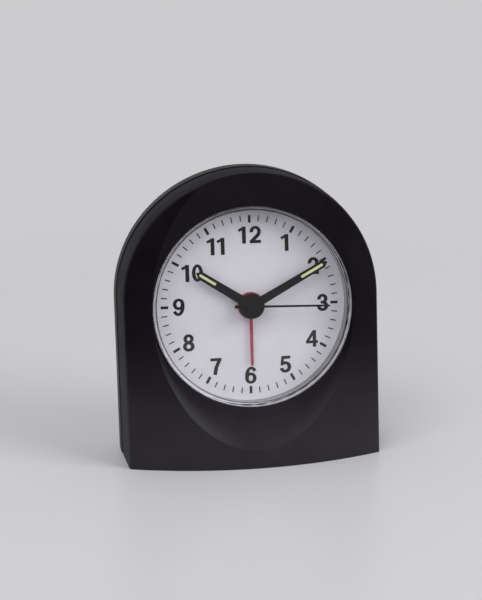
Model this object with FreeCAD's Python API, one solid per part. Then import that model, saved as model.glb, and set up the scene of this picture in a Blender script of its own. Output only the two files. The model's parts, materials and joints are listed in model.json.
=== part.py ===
import FreeCAD, Part
import math
import os
from FreeCAD import Placement, Rotation, Vector

# Bedside quartz alarm clock: an arched case with a bowed, leaning face and a round dial
# Every piece is drawn in the leaning frame of the dial. U points to the reader's right,
# V points up along the lean, and W points out of the dial towards the reader.
# stand() then leans each piece back and sets it on the table, millimetres throughout.

# Stance on the table
LEAN = 9.4
DIAL_HEIGHT = 52.3
TOE_TO_ORIGIN = 25.06

# Case outline
FRONT_HALF = 44.0
CROWN_W = 12.0
BOW_DROP = 7.0
ARCH_V = 2.9
WIDEST_HALF = 45.6
WIDEST_W = -17.0
BARREL_R = 151.0
WALL = 2.0
FACE_WALL = 2.2
PARTING_DEPTH = 14.0
PARTING_GAP = 0.5
BAND_DEPTH = 23.0
LIP_PLAY = 0.1
LIP_REACH = 2.0
BAND_WALL = 3.1
EDGE_BEVEL = 0.4
SHOULDER_BEVEL = 2.4
OUTER_LEVELS = (14.0, 3.0, -8.0, -19.0, -30.0)
INNER_LEVELS = (14.0, -12.0, -30.0)

# Raised panel on the back
PANEL_W = -22.0
PANEL_FRONT_W = -4.0
PANEL_FOOT_HALF = 41.4
PANEL_HALF = 39.8
PANEL_BEVEL = 1.2
PANEL_DRAFT = 0.2

# Dish round the dial
DISH_TAN = 0.317
DISH_WALL = 2.0

# Crystal, dial and their seat
LENS_R = 34.4
LENS_FRONT_W = 7.5
LENS_THICK = 1.2
LENS_WALL = 1.1
SEAT_PLAY = 0.1
COLLAR_R = 37.0
DISH_RIM_R = 52.0
DIAL_R = 34.3
DIAL_SIDES = 40
DIAL_THICK = 0.6
DIAL_HOLE_R = 3.55

# Hands, with the time on the face at rest: angles clockwise from twelve
HOUR_ANGLE = 303.0
MINUTE_ANGLE = 62.0
SECOND_ANGLE = 92.0
ALARM_ANGLE = 180.0
HOUR_REACH = 22.4
MINUTE_REACH = 30.3
SECOND_REACH = 27.2
SECOND_TAIL = 6.2
ALARM_REACH = 21.4
ALARM_HAND_W = (1.0, 1.3)
HOUR_HAND_W = (2.2, 2.6)
MINUTE_HAND_W = (3.5, 4.0)
SECOND_HAND_W = (4.9, 5.1)
LUME_THICK = 0.12
HAND_POINT = 1.3
HOUR_HALF = (1.6, 1.4)
MINUTE_HALF = (1.5, 1.2)
SECOND_HALF = (0.4, 0.22)
ALARM_HALF = (0.55, 0.5)
HOUR_HUB_R = 3.4
MINUTE_HUB_R = 4.4
SECOND_HUB_R = 1.5
SECOND_CAP = 0.4
ALARM_HUB_R = 4.3
HOUR_LUME = (14.2, 21.2, 0.6)
MINUTE_LUME = (19.5, 28.6, 0.6)

# Levels of the movement, front to back, as (low, high) pairs along W
BASE_PLATE_W = (-2.2, -0.6)
ALARM_WHEEL_W = (-3.5, -2.7)
HOUR_WHEEL_W = (-4.7, -3.9)
MOTION_PINION_W = (-4.95, -3.75)
MOTION_WHEEL_W = (-6.0, -5.2)
CANNON_PINION_W = (-6.15, -5.05)
BRIDGE_W = (-7.6, -6.6)
CENTRE_WHEEL_W = (-8.8, -8.0)
THIRD_PINION_W = (-8.95, -7.85)
THIRD_WHEEL_W = (-9.9, -9.3)
SECOND_PINION_W = (-10.1, -9.1)
SECOND_WHEEL_W = (-11.2, -10.6)
INTER_PINION_W = (-11.5, -10.3)
STATOR_W = (-10.9, -10.3)
MAGNET_W = (-11.6, -9.6)
INTER_WHEEL_W = (-12.7, -12.1)
ROTOR_PINION_W = (-13.1, -11.85)
COVER_PLATE_W = (-15.2, -14.0)
BOARD_W = (-16.6, -15.6)

# Teeth of the wheels and pinions
ROTOR_TEETH = 6
INTER_TEETH = 30
INTER_PINION_TEETH = 6
SECOND_TEETH = 36
SECOND_PINION_TEETH = 6
THIRD_TEETH = 45
THIRD_PINION_TEETH = 6
CENTRE_TEETH = 48
CANNON_TEETH = 8
MOTION_TEETH = 24
MOTION_PINION_TEETH = 6
HOUR_TEETH = 24
TIME_PINION_TEETH = 8
ALARM_TEETH = 32
ALARM_PINION_TEETH = 8

# Tooth form in modules: height and depth from the pitch circle, and half the width of the tip
TOOTH_TOP = 0.8
TOOTH_ROOT = 1.6
TOOTH_TIP = 0.25

# Distances between the arbors
THIRD_ARM = 8.6
INTER_ARM = 8.4
ROTOR_ARM = 7.2
MOTION_ARM = 8.4
TIME_KNOB_ARM = 8.4
ALARM_KNOB_ARM = 12.0
TIME_KNOB_AT = (-15.8, 4.0)
ALARM_KNOB_SIDE = 16.5
ROTOR_BEARING = -50.0

# Tubes and arbors at the centre of the dial
SECOND_ARBOR_R = 0.45
MINUTE_TUBE_R = (0.52, 1.10)
HOUR_TUBE_R = (1.18, 1.75)
ALARM_TUBE_R = (1.83, 2.40)
SLEEVE_R = (2.48, 3.45)
ARBOR_R = 0.45
ARBOR_W = (-14.9, -6.9)
ARBOR_HOLE_R = 0.51
HUB_SIDES = 24
TUBE_SIDES = 18
SHAFT_SIDES = 12
ROD_SIDES = 10

# Movement housing
MOVEMENT_HALF = 27.5
MOVEMENT_WALL = 1.3
MOVEMENT_CORNER = 3.0
LUG_AT = 28.2
LUG_HALF = 2.6
BRIDGE_POST_AT = 21.5
BRIDGE_POST_HALF = 1.8
BRIDGE_PLAY = 0.3
SLEEVE_TOP = 0.6
BEARING_PLAY = 0.07
STUD_R = 0.5
STUD_PLAY = 0.06
STUD_SHORT = 0.1

# Setting knobs on the back
KNOB_R = 5.2
KNOB_W = (-27.6, -22.6)
KNOB_SHAFT_R = 1.2
KNOB_FLUTES = 12
KNOB_FLUTE_R = 4.75
KNOB_CROWN = 0.8
KNOB_BEARING = 1.0
KNOB_HOLE_PLAY = 0.4
ALARM_PINION_W = (-3.6, -2.6)

# Snooze button and alarm switch on the back
SNOOZE_V = 30.8
SNOOZE_SIZE = (24.0, 8.6)
SNOOZE_PROUD = 2.0
SNOOZE_FLANGE = 0.6
SNOOZE_TRAVEL = 1.4
SNOOZE_BEVEL = 0.6
PILL_FLATS = 8
SNOOZE_LEDGE = 1.0
SNOOZE_STEM = 1.4
CONTACT_TOP_W = -17.55
CONTACT_HALF = 3.0
CONTACT_BASE = 0.6
CONTACT_PLUNGER = 1.5
PANEL_THICK = 2.0
BUTTON_PLAY = 0.25
FLANGE_PLAY = 0.05
SWITCH_V = 17.0
SWITCH_TRAVEL = 4.0
SWITCH_HEAD = (3.6, 3.4)
SWITCH_PROUD = 1.0
SWITCH_RIDGES = 3
SWITCH_GROOVE = 0.25
SHOE_HALF = (5.0, 3.0)
SHOE_THICK = 0.8
SWITCH_BODY_HALF = (4.5, 3.0)

# Battery bay
CELL_R = 7.25
CELL_SIDES = 24
CELL_LENGTH = 50.5
CELL_NUB = 1.3
CELL_NUB_R = 2.7
CELL_V = -38.2
CELL_W = -11.1
BAY_HALF = 27.4
BAY_HALF_V = 7.6
BAY_WALL = 1.3
CONTACT_THICK = 0.4
PLUS_HALF = 4.0
LEAF_HALF = 3.0
LEAF_OUTLINE = (
    (0, 0, -5.5), (0, 0, 5.4), (0, 0.4, 5.4), (1, 0, 1.3), (1, 0, -1.2), (1, 1.6, -3.4),
    (1, 1.9, -3.1), (1, 0.4, -1.0), (1, 0.4, 1.0), (0, 0.4, 4.8), (0, 0.4, -5.5),
)
DOOR_HALF = 28.4
DOOR_LOW_V = -46.6
DOOR_HIGH_V = -29.5
DOOR_THICK = 1.5
DOOR_PLAY = 0.25
DOOR_BEAD_R = 0.75
BEAD_PLAY = 0.1
DOOR_GRIPS = 4
DOOR_GRIP_HALF = 6.0
DOOR_GRIP_FIRST = 1.6
DOOR_GRIP_PITCH = 1.5
DOOR_GRIP_DEPTH = 0.4

# Buzzer behind the sound slots
BUZZER_V = -13.5
BUZZER_R = 10.0
BUZZER_LAYER = 0.25
BUZZER_SEAT_W = -18.6
BUZZER_RIM = 1.6
BUZZER_PLAY = 0.25
BUZZER_LEDGE = 1.2
CERAMIC_R = 7.0
SLOT_COUNT = 5
SLOT_PITCH = 3.0
SLOT_WIDTH = 1.4
SLOT_FIELD_R = 7.6

# Coil on its core
COIL_V = -21.8
COIL_W = -11.3
COIL_SPAN = (-6.5, 16.5)
COIL_R = 2.4
SPOOL_HALF = 1.6
FLANGE_HALF = 2.3
FLANGE = 0.8
CORE_HALF_V = 1.2
CORE_END = 3.2
STATOR_LEG = 3.5
STATOR_GAP = 0.4
STATOR_FOOT = 1.8
STATOR_V = (-18.2, -11.2)
STATOR_EYE_R = (3.1, 4.6)
MAGNET_R = 2.6
STATOR_POSTS = ((-8.4, -13.6), (18.4, -13.6))
STATOR_POST_HALF = 1.0
BOARD_POSTS = ((-17.0, 20.0), (17.0, 20.0))
BOARD_POST_HALF = 1.5
BOARD_OUTLINE = ((-20, 12), (20, 12), (20, 20), (9, 36), (-9, 36), (-20, 20))
CHIP_AT = (-12.5, 17.5)
CHIP_R = 3.6
CHIP_HIGH = 1.2
CAN_AT = (9.0, 14.5)
CAN_R = 1.0
CAN_LENGTH = 6.0

# Screws
CASE_SCREW_AT = ((16.6, 33.6), (-16.6, 33.6), (35.5, -38.0), (-35.5, -38.0))
CASE_SCREW_R = 1.2
CASE_SCREW_LENGTH = 10.5
CASE_HEAD_R = 2.3
CASE_HEAD_HIGH = 1.6
CASE_SEAT_W = -17.0
CASE_BOSS_W = -15.0
CASE_BOSS_HALF = 1.9
WELL_R = 3.4
WELL_PLAY = 0.3
SMALL_SCREW_R = 1.0
SMALL_SCREW_LENGTH = 6.5
SMALL_HEAD_R = 2.2
SMALL_HEAD_HIGH = 1.3

# Radius of the bow and plain helpers
BOW_R = (FRONT_HALF ** 2 + BOW_DROP ** 2) / (2 * BOW_DROP)
FAR = 120.0
LEG_RUN = 75.0
ON_SURFACE = 0.05
LONG_EDGE = 5.0
OUT = Vector(0, 0, 1)


# Frames and plain solids

def stance():
    """From the frame of the dial to the table, with the foot of the crown TOE_TO_ORIGIN in front."""
    lean = math.radians(LEAN)
    toe_to_dial = CROWN_W * math.cos(lean) + (DIAL_HEIGHT + CROWN_W * math.sin(lean)) * math.tan(lean)
    spot = Vector(0, toe_to_dial - TOE_TO_ORIGIN, DIAL_HEIGHT)
    return Placement(spot, Rotation(Vector(1, 0, 0), 90 - LEAN))


def stand(shape):
    """Leans a shape drawn in the frame of the dial and sets it on the table."""
    placed = shape.copy()
    placed.Placement = stance().multiply(placed.Placement)
    return placed


def height_of(point):
    """Height above the table of a point in the frame of the dial."""
    return stance().multVec(point).z


def under_table(height):
    """Everything lower than a height above the table, in the frame of the dial."""
    slab = Part.makeBox(2 * FAR, 2 * FAR, FAR, Vector(-FAR, -FAR, height - FAR))
    slab.Placement = stance().inverse()
    return slab


def disc(radius, low, high, at=(0, 0)):
    return Part.makeCylinder(radius, high - low, Vector(at[0], at[1], low))


def bar_along_u(radius, left, right, v, w):
    """A round bar that lies along U."""
    return Part.makeCylinder(radius, right - left, Vector(left, v, w), Vector(1, 0, 0))


def rod_along_u(radius, left, right, v, w, sides=ROD_SIDES):
    """A rod that lies along U."""
    lying = rod(radius, left, right, sides=sides)
    lying.Placement = Placement(Vector(0, v, w), Rotation(Vector(0, 1, 0), 90))
    return lying


def ring(inner, outer, low, high, at=(0, 0)):
    return disc(outer, low, high, at).cut(disc(inner, low - 1, high + 1, at))


def block(u_low, u_high, v_low, v_high, low, high):
    return Part.makeBox(u_high - u_low, v_high - v_low, high - low, Vector(u_low, v_low, low))


def polygon(points, low, high):
    """A prism over a closed outline of straight runs."""
    corners = [Vector(u, v, low) for u, v in points]
    face = Part.Face(Part.makePolygon(corners + corners[:1]))
    return face.extrude(OUT * (high - low))


def rod(radius, low, high, at=(0, 0), sides=ROD_SIDES):
    """A slender round piece, or its hole, with flats too small to see at its size."""
    return polygon([polar(radius, 360 * index / sides, at) for index in range(sides)], low, high)


def tube(radius, low, high):
    """A stout rod at the centre of the dial, or its bore."""
    return rod(radius, low, high, sides=TUBE_SIDES)


def post(half, low, high, at):
    """A square post."""
    return block(at[0] - half, at[0] + half, at[1] - half, at[1] + half, low, high)


def pill(length, width, low, high, at=(0, 0)):
    """A slot-shaped bar that is long in U, with fine flats on its round ends."""
    half = (length - width) / 2
    step = 180 / PILL_FLATS
    outline = []
    for side, start in ((1, -90), (-1, 90)):
        centre = (at[0] + side * half, at[1])
        outline.extend(polar(width / 2, start + index * step, centre) for index in range(PILL_FLATS + 1))
    return polygon(outline, low, high)


def plate(half, corner, low, high):
    """A square plate with cut corners."""
    near = half - corner
    outline = [(half, near), (near, half), (-near, half), (-half, near),
               (-half, -near), (-near, -half), (near, -half), (half, -near)]
    return polygon(outline, low, high)


def join(shapes):
    """One solid from shapes that touch or overlap."""
    return shapes[0].multiFuse(shapes[1:]).removeSplitter() if len(shapes) > 1 else shapes[0]


def spun(points):
    """A solid of revolution about W from (radius, w) corners."""
    corners = [Vector(r, 0, w) for r, w in points]
    face = Part.Face(Part.makePolygon(corners + corners[:1]))
    return face.revolve(Vector(0, 0, 0), OUT, 360)


def clockwise(shape, degrees):
    """Turns a shape that points to twelve round to a clock angle."""
    turned = shape.copy()
    turned.rotate(Vector(0, 0, 0), OUT, -degrees)
    return turned


# Case forms

def arched(wire):
    """Half turn of a (radius, w) profile over the arch, and a straight run below it."""
    half_face = Part.Face(wire)
    arch = half_face.revolve(Vector(0, 0, 0), OUT, 180)
    mirrored = half_face.mirror(Vector(0, 0, 0), Vector(1, 0, 0))
    legs = [face.extrude(Vector(0, -LEG_RUN, 0)) for face in (half_face, mirrored)]
    whole = join([arch] + legs)
    whole.translate(Vector(0, ARCH_V, 0))
    return whole


def barrel_radius(w, inset=0.0):
    drop = BARREL_R - inset
    return WIDEST_HALF - BARREL_R + math.sqrt(drop ** 2 - (w - WIDEST_W) ** 2)


def barrel(inset, levels=INNER_LEVELS):
    """The arched outline with side walls that swell towards the back, in one step for each level."""
    wall = [Vector(barrel_radius(w, inset), 0, w) for w in levels]
    loop = [Vector(0, 0, levels[0])] + wall + [Vector(0, 0, levels[-1])]
    return arched(Part.makePolygon(loop + loop[:1]))


def bow(shift, inset=0.0):
    """All that lies behind the bowed front, moved back by shift or drawn in by inset."""
    base = Vector(0, -FAR, CROWN_W - BOW_R - shift)
    return Part.makeCylinder(BOW_R - inset, 2 * FAR, base, Vector(0, 1, 0))


def off_bow(point, shift):
    """Distance of a point from the bowed surface that lies shift behind the front."""
    return abs(math.hypot(point.x, point.z - CROWN_W + BOW_R + shift) - BOW_R)


def panel(half_front, half_back, front, back):
    """An arch between two levels, such as the raised panel of the back or the room in it."""
    corners = [Vector(r, 0, w) for r, w in ((0, front), (half_front, front), (half_back, back), (0, back))]
    return arched(Part.makePolygon(corners + corners[:1]))


def lug_spots():
    """Two opposite corners of the movement, which its screws go through."""
    return [(LUG_AT, LUG_AT), (-LUG_AT, -LUG_AT)]


def case_bosses():
    """Posts that the case screws and the movement screws bite into."""
    posts = [post(CASE_BOSS_HALF, CASE_BOSS_W, CROWN_W, at) for at in CASE_SCREW_AT]
    return posts + [post(LUG_HALF, BASE_PLATE_W[1], CROWN_W, at) for at in lug_spots()]


def make_front_case():
    """Bowed face, arched side wall, base and the dish that frames the crystal."""
    outer = barrel(0, OUTER_LEVELS).common(bow(0)).cut(under_table(0))
    outer = bevel_front(outer)
    hollow = barrel(WALL).common(bow(0, FACE_WALL)).cut(under_table(WALL))
    shell = outer.cut(hollow).cut(bow(PARTING_DEPTH))
    rim_w = LENS_FRONT_W
    reach = LENS_R + SEAT_PLAY
    high = rim_w + (DISH_RIM_R - reach) * DISH_TAN
    over = CROWN_W + WALL
    slope = [(reach, rim_w), (DISH_RIM_R, high)]
    dish_wall = spun(slope + [(DISH_RIM_R, high - DISH_WALL), (reach, rim_w - DISH_WALL)])
    collar = ring(reach, COLLAR_R, -DIAL_THICK, CROWN_W)
    inside = join([dish_wall, collar] + case_bosses()).common(outer)
    body = join([shell, inside])
    dish = spun([(0, rim_w), (reach, rim_w), (DISH_RIM_R, high), (DISH_RIM_R, high + over), (0, high + over)])
    body = body.cut(dish).cut(disc(reach, -DIAL_THICK - SEAT_PLAY, CROWN_W))
    for at in CASE_SCREW_AT:
        body = body.cut(rod(CASE_SCREW_R, CASE_BOSS_W, CASE_SEAT_W + CASE_SCREW_LENGTH, at))
    for at in lug_spots():
        body = body.cut(rod(SMALL_SCREW_R, BASE_PLATE_W[1], BASE_PLATE_W[0] + SMALL_SCREW_LENGTH, at))
    return body


def bevel_front(solid):
    """Softens the edge between the face and the side wall."""
    edges = []
    for edge in solid.Edges:
        middle = middle_of(edge)
        if off_bow(middle, 0) < ON_SURFACE and height_of(middle) > WALL / 2 and edge.Length > LONG_EDGE:
            edges.append(edge)
    return solid.makeChamfer(EDGE_BEVEL, edges)


def make_rear_cover():
    """Back shell with its raised panel, lip, screw wells, battery bay and openings."""
    joint = PARTING_DEPTH + PARTING_GAP
    band = barrel(0, OUTER_LEVELS).common(bow(joint)).cut(bow(BAND_DEPTH))
    band = band.makeChamfer(SHOULDER_BEVEL, [e for e in band.Edges if is_shoulder(e)])
    foot = PANEL_HALF + PANEL_DRAFT * (PANEL_FRONT_W - PANEL_W)
    back = panel(foot, PANEL_HALF, PANEL_FRONT_W, PANEL_W).common(bow(joint))
    back = back.makeChamfer(PANEL_BEVEL, [e for e in back.Edges if is_panel_rim(e)])
    lip = barrel(WALL + LIP_PLAY).common(bow(PARTING_DEPTH - LIP_REACH)).cut(bow(joint + WALL))
    lip = lip.cut(under_table(WALL + LIP_PLAY))
    outer = join([band, back, lip])
    room = bow(PARTING_DEPTH - LIP_REACH - 1)
    band_hollow = barrel(BAND_WALL).common(room).cut(bow(BAND_DEPTH - WALL))
    half = PANEL_HALF - WALL
    back_hollow = panel(half, half, 0, PANEL_W + PANEL_THICK)
    hollow = join([band_hollow, back_hollow.common(room)])
    shell = outer.cut(hollow.cut(under_table(WALL))).cut(under_table(0))
    wells = [rod(WELL_R, PANEL_W, CASE_BOSS_W, at) for at in CASE_SCREW_AT]
    extras = join([bay_walls()] + wells + [make_buzzer_seat()])
    extras = extras.common(join([barrel(WALL), back])).cut(under_table(WALL / 2))
    body = join([shell, extras]).cut(bay_space())
    for at in CASE_SCREW_AT:
        body = body.cut(rod(CASE_HEAD_R + WELL_PLAY, PANEL_W - 1, CASE_SEAT_W, at, HUB_SIDES))
        body = body.cut(rod(CASE_SCREW_R + WELL_PLAY, CASE_SEAT_W - 1, CASE_BOSS_W + 1, at))
    low = PANEL_W - 1
    high = PANEL_W + PANEL_THICK + BUTTON_PLAY
    for at in (TIME_KNOB_AT, alarm_knob_at()):
        body = body.cut(rod(KNOB_SHAFT_R + KNOB_HOLE_PLAY, low, high, at, SHAFT_SIDES))
    wide, tall = SNOOZE_SIZE
    body = body.cut(pill(wide + 2 * BUTTON_PLAY, tall + 2 * BUTTON_PLAY, low, high, (0, SNOOZE_V)))
    half = SWITCH_HEAD[0] / 2 + SWITCH_TRAVEL / 2 + BUTTON_PLAY
    slot_v = SWITCH_HEAD[1] / 2 + BUTTON_PLAY
    body = body.cut(block(-half, half, SWITCH_V - slot_v, SWITCH_V + slot_v, low, high))
    return body.cut(sound_slots(low, high))


def middle_of(edge):
    return edge.valueAt((edge.FirstParameter + edge.LastParameter) / 2)


def is_shoulder(edge):
    """True on the rear rim of the band, above the part that the table cut removes."""
    spot = middle_of(edge)
    across = math.hypot(spot.x, max(0.0, spot.y - ARCH_V))
    on_rim = off_bow(spot, BAND_DEPTH) < ON_SURFACE and across > PANEL_FOOT_HALF + WALL
    return on_rim and edge.Length > LONG_EDGE


def is_panel_rim(edge):
    """True on the arch and the two sides of the panel's flat rear face."""
    spot = middle_of(edge)
    across = math.hypot(spot.x, max(0.0, spot.y - ARCH_V))
    return abs(spot.z - PANEL_W) < ON_SURFACE and abs(across - PANEL_HALF) < ON_SURFACE


def make_buzzer_seat():
    """Stepped ring inside the back that holds the buzzer disc clear of the panel."""
    floor = PANEL_W + PANEL_THICK / 2
    at = (0, BUZZER_V)
    seat = rod(BUZZER_R + BUZZER_RIM, floor, BUZZER_SEAT_W + 1, at, TUBE_SIDES)
    seat = seat.cut(rod(BUZZER_R + BUZZER_PLAY, BUZZER_SEAT_W, BUZZER_SEAT_W + 2, at, TUBE_SIDES))
    return seat.cut(rod(BUZZER_R - BUZZER_LEDGE, floor - 1, BUZZER_SEAT_W + 1, at, TUBE_SIDES))


def sound_slots(low, high):
    """Upright slots that follow a circle, longest in the middle."""
    slots = []
    for index in range(SLOT_COUNT):
        u = (index - (SLOT_COUNT - 1) / 2) * SLOT_PITCH
        half = math.sqrt(SLOT_FIELD_R ** 2 - u ** 2)
        left = u - SLOT_WIDTH / 2
        slots.append(block(left, left + SLOT_WIDTH, BUZZER_V - half, BUZZER_V + half, low, high))
    return Part.makeCompound(slots)


# Battery bay, door, cell and contacts

def trough(radius, half_v, half_u, front_extra, back):
    """A round-bottomed trough that lies along U and opens to the back."""
    tube = bar_along_u(radius + front_extra, -half_u, half_u, CELL_V, CELL_W)
    box = block(-half_u, half_u, CELL_V - half_v, CELL_V + half_v, back, CELL_W)
    return join([tube, box])


def bay_walls():
    return trough(BAY_HALF_V, BAY_HALF_V + BAY_WALL, BAY_HALF + BAY_WALL, BAY_WALL, PANEL_W)


def bay_space():
    """Room for the cell, the rebate that the door lies in, and its hinge groove."""
    room = trough(BAY_HALF_V, BAY_HALF_V, BAY_HALF, 0, PANEL_W - 1)
    half = DOOR_HALF + DOOR_PLAY
    top = DOOR_HIGH_V + DOOR_PLAY
    rebate = block(-half, half, DOOR_LOW_V, top, PANEL_W - 1, PANEL_W + DOOR_THICK + BEAD_PLAY)
    groove = door_bead(DOOR_BEAD_R + BEAD_PLAY, half)
    foot = DOOR_LOW_V - DOOR_BEAD_R - BEAD_PLAY
    mouth = block(-half, half, foot, DOOR_LOW_V, PANEL_W - 1, PANEL_W + DOOR_BEAD_R)
    return join([room, rebate, groove, mouth])


def door_bead(radius, half):
    return bar_along_u(radius, -half, half, DOOR_LOW_V, PANEL_W + DOOR_BEAD_R)


def make_battery_door():
    """Flush door with a hinge bead along its foot and a ribbed thumb patch."""
    body = block(-DOOR_HALF, DOOR_HALF, DOOR_LOW_V, DOOR_HIGH_V, PANEL_W, PANEL_W + DOOR_THICK)
    body = join([body, door_bead(DOOR_BEAD_R, DOOR_HALF)])
    for index in range(DOOR_GRIPS):
        v = DOOR_HIGH_V - DOOR_GRIP_FIRST - DOOR_GRIP_PITCH * index
        body = body.cut(block(-DOOR_GRIP_HALF, DOOR_GRIP_HALF, v - DOOR_GRIP_DEPTH, v + DOOR_GRIP_DEPTH,
                              PANEL_W - 1, PANEL_W + DOOR_GRIP_DEPTH))
    return body


def make_cell():
    """Round cell with a stepped positive end on the right."""
    nub = BAY_HALF - CONTACT_THICK
    negative = nub - CELL_LENGTH
    can = rod_along_u(CELL_R, negative, nub - CELL_NUB, CELL_V, CELL_W, CELL_SIDES)
    return join([can, rod_along_u(CELL_NUB_R, nub - CELL_NUB, nub, CELL_V, CELL_W)])


def make_positive_contact():
    """Flat plate on the right end wall."""
    right = BAY_HALF
    left = right - CONTACT_THICK
    half = PLUS_HALF
    return block(left, right, CELL_V - half, CELL_V + half, CELL_W - half - 1, CELL_W + half + 1)


def make_negative_contact():
    """Bent leaf that presses on the cell: LEAF_OUTLINE counts from the wall (0) or from the cell (1)."""
    left = -BAY_HALF
    tip = BAY_HALF - CONTACT_THICK - CELL_LENGTH
    outline = [(left + u if free == 0 else tip - u, CELL_V + v) for free, u, v in LEAF_OUTLINE]
    return polygon(outline, CELL_W - LEAF_HALF, CELL_W + LEAF_HALF)


# Crystal, dial and hands

def make_crystal():
    """Clear cup with a flat window and a deep wall that stands on the dial."""
    inner = LENS_R - LENS_WALL
    window = LENS_FRONT_W - LENS_THICK
    outside = [(0, LENS_FRONT_W), (LENS_R, LENS_FRONT_W), (LENS_R, 0)]
    profile = outside + [(inner, 0), (inner, window), (0, window)]
    return spun(profile)


def make_dial():
    """Thin disc whose edge has fine flats, since the crystal's wall covers it."""
    return rod(DIAL_R, -DIAL_THICK, 0, sides=DIAL_SIDES).cut(tube(DIAL_HOLE_R, -1, 1))


def bar_hand(root_half, tip_half, reach, low, high):
    """A straight tapering hand that ends in a short point."""
    shoulder = reach - HAND_POINT * tip_half
    right = [(root_half, 0), (tip_half, shoulder)]
    left = [(-tip_half, shoulder), (-root_half, 0)]
    return polygon(right + [(0, reach)] + left, low, high)


def hand_on(hub_r, bar, bore_r, low, high, angle):
    """A hand on its round hub, bored for its tube and turned to its clock angle."""
    body = join([rod(hub_r, low, high, sides=HUB_SIDES), clockwise(bar, angle)])
    return body.cut(tube(bore_r, low - 1, high + 1))


def lume_slot(start, end, half, low, high):
    return block(-half, half, start, end, low, high)


def make_hour_hand():
    low, high = HOUR_HAND_W
    bar = bar_hand(*HOUR_HALF, HOUR_REACH, low, high)
    bar = bar.cut(lume_slot(*HOUR_LUME, high - LUME_THICK, high + 1))
    return hand_on(HOUR_HUB_R, bar, HOUR_TUBE_R[1], low, high, HOUR_ANGLE)


def make_minute_hand():
    low, high = MINUTE_HAND_W
    bar = bar_hand(*MINUTE_HALF, MINUTE_REACH, low, high)
    bar = bar.cut(lume_slot(*MINUTE_LUME, high - LUME_THICK, high + 1))
    return hand_on(MINUTE_HUB_R, bar, MINUTE_TUBE_R[1], low, high, MINUTE_ANGLE)


def make_hour_lume():
    return clockwise(lume_slot(*HOUR_LUME, HOUR_HAND_W[1] - LUME_THICK, HOUR_HAND_W[1]), HOUR_ANGLE)


def make_minute_lume():
    return clockwise(lume_slot(*MINUTE_LUME, MINUTE_HAND_W[1] - LUME_THICK, MINUTE_HAND_W[1]), MINUTE_ANGLE)


def make_second_hand():
    """Needle with a short tail and a capped hub that grips the arbor."""
    low, high = SECOND_HAND_W
    needle = bar_hand(*SECOND_HALF, SECOND_REACH, low, high)
    tail = block(-SECOND_HALF[0], SECOND_HALF[0], -SECOND_TAIL, 0, low, high)
    bars = clockwise(join([needle, tail]), SECOND_ANGLE)
    hub = rod(SECOND_HUB_R, low - SECOND_CAP, high + SECOND_CAP, sides=HUB_SIDES)
    return join([hub, bars]).cut(rod(SECOND_ARBOR_R, low - 1, high))


def make_alarm_hand():
    low, high = ALARM_HAND_W
    bar = bar_hand(*ALARM_HALF, ALARM_REACH, low, high)
    return hand_on(ALARM_HUB_R, bar, ALARM_TUBE_R[1], low, high, ALARM_ANGLE)


# Wheels

def radius_of(teeth, arm, mate):
    """Pitch radius of a wheel whose arbor stands arm away from its mate's."""
    return arm * teeth / (teeth + mate)


def toothed(teeth, pitch_r, low, high, phase=0.0, at=(0, 0)):
    """A toothed disc with straight flanks, flat tips and V-shaped gaps."""
    module = 2 * pitch_r / teeth
    tip_r = pitch_r + TOOTH_TOP * module
    root_r = pitch_r - TOOTH_ROOT * module
    tip_half = TOOTH_TIP * module / tip_r
    outline = []
    for index in range(teeth):
        centre = phase + 2 * math.pi * index / teeth
        for radius, offset in ((root_r, -math.pi / teeth), (tip_r, -tip_half), (tip_r, tip_half)):
            outline.append(polar(radius, math.degrees(centre + offset), at))
    return polygon(outline, low, high)


def meshing_phase(driver_phase, driver_teeth, driven_teeth, driver_at, driven_at):
    """Phase that sets a gap of the driven wheel opposite a tooth of the driver."""
    line = math.atan2(driven_at[1] - driver_at[1], driven_at[0] - driver_at[0])
    share = (driver_phase - line) * driver_teeth / (2 * math.pi)
    return line + math.pi + (2 * math.pi / driven_teeth) * (0.5 - share)


def polar(arm, degrees, start=(0, 0)):
    angle = math.radians(degrees)
    return (start[0] + arm * math.cos(angle), start[1] + arm * math.sin(angle))


def third_at():
    return (0, THIRD_ARM)


def inter_at():
    return (0, -INTER_ARM)


def rotor_at():
    return polar(ROTOR_ARM, ROTOR_BEARING, inter_at())


def alarm_knob_at():
    return polar(ALARM_KNOB_ARM, ALARM_KNOB_SIDE)


def motion_at():
    """Where an arm from the centre meets an arm from the time knob."""
    knob = TIME_KNOB_AT
    span = math.hypot(*knob)
    swing = math.acos((MOTION_ARM ** 2 + span ** 2 - TIME_KNOB_ARM ** 2) / (2 * MOTION_ARM * span))
    return polar(MOTION_ARM, math.degrees(math.atan2(knob[1], knob[0]) + swing))


def arbor(at):
    """A plain arbor from its hole in the rear lid to its hole in the middle plate."""
    return rod(ARBOR_R, *ARBOR_W, at)


def make_rotor_magnet():
    at = rotor_at()
    magnet = rod(MAGNET_R, *MAGNET_W, at, SHAFT_SIDES)
    return magnet.cut(rod(ARBOR_R, MAGNET_W[0] - 1, MAGNET_W[1] + 1, at))


def make_rotor_pinion():
    at = rotor_at()
    pitch = radius_of(ROTOR_TEETH, ROTOR_ARM, INTER_TEETH)
    phase = meshing_phase(0, INTER_TEETH, ROTOR_TEETH, inter_at(), at)
    return join([arbor(at), toothed(ROTOR_TEETH, pitch, *ROTOR_PINION_W, phase, at)])


def make_intermediate_wheel():
    at = inter_at()
    wheel = toothed(INTER_TEETH, radius_of(INTER_TEETH, ROTOR_ARM, ROTOR_TEETH), *INTER_WHEEL_W, 0, at)
    pitch = radius_of(INTER_PINION_TEETH, INTER_ARM, SECOND_TEETH)
    phase = meshing_phase(0, SECOND_TEETH, INTER_PINION_TEETH, (0, 0), at)
    pinion = toothed(INTER_PINION_TEETH, pitch, INTER_WHEEL_W[1], INTER_PINION_W[1], phase, at)
    return join([arbor(at), wheel, pinion])


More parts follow.
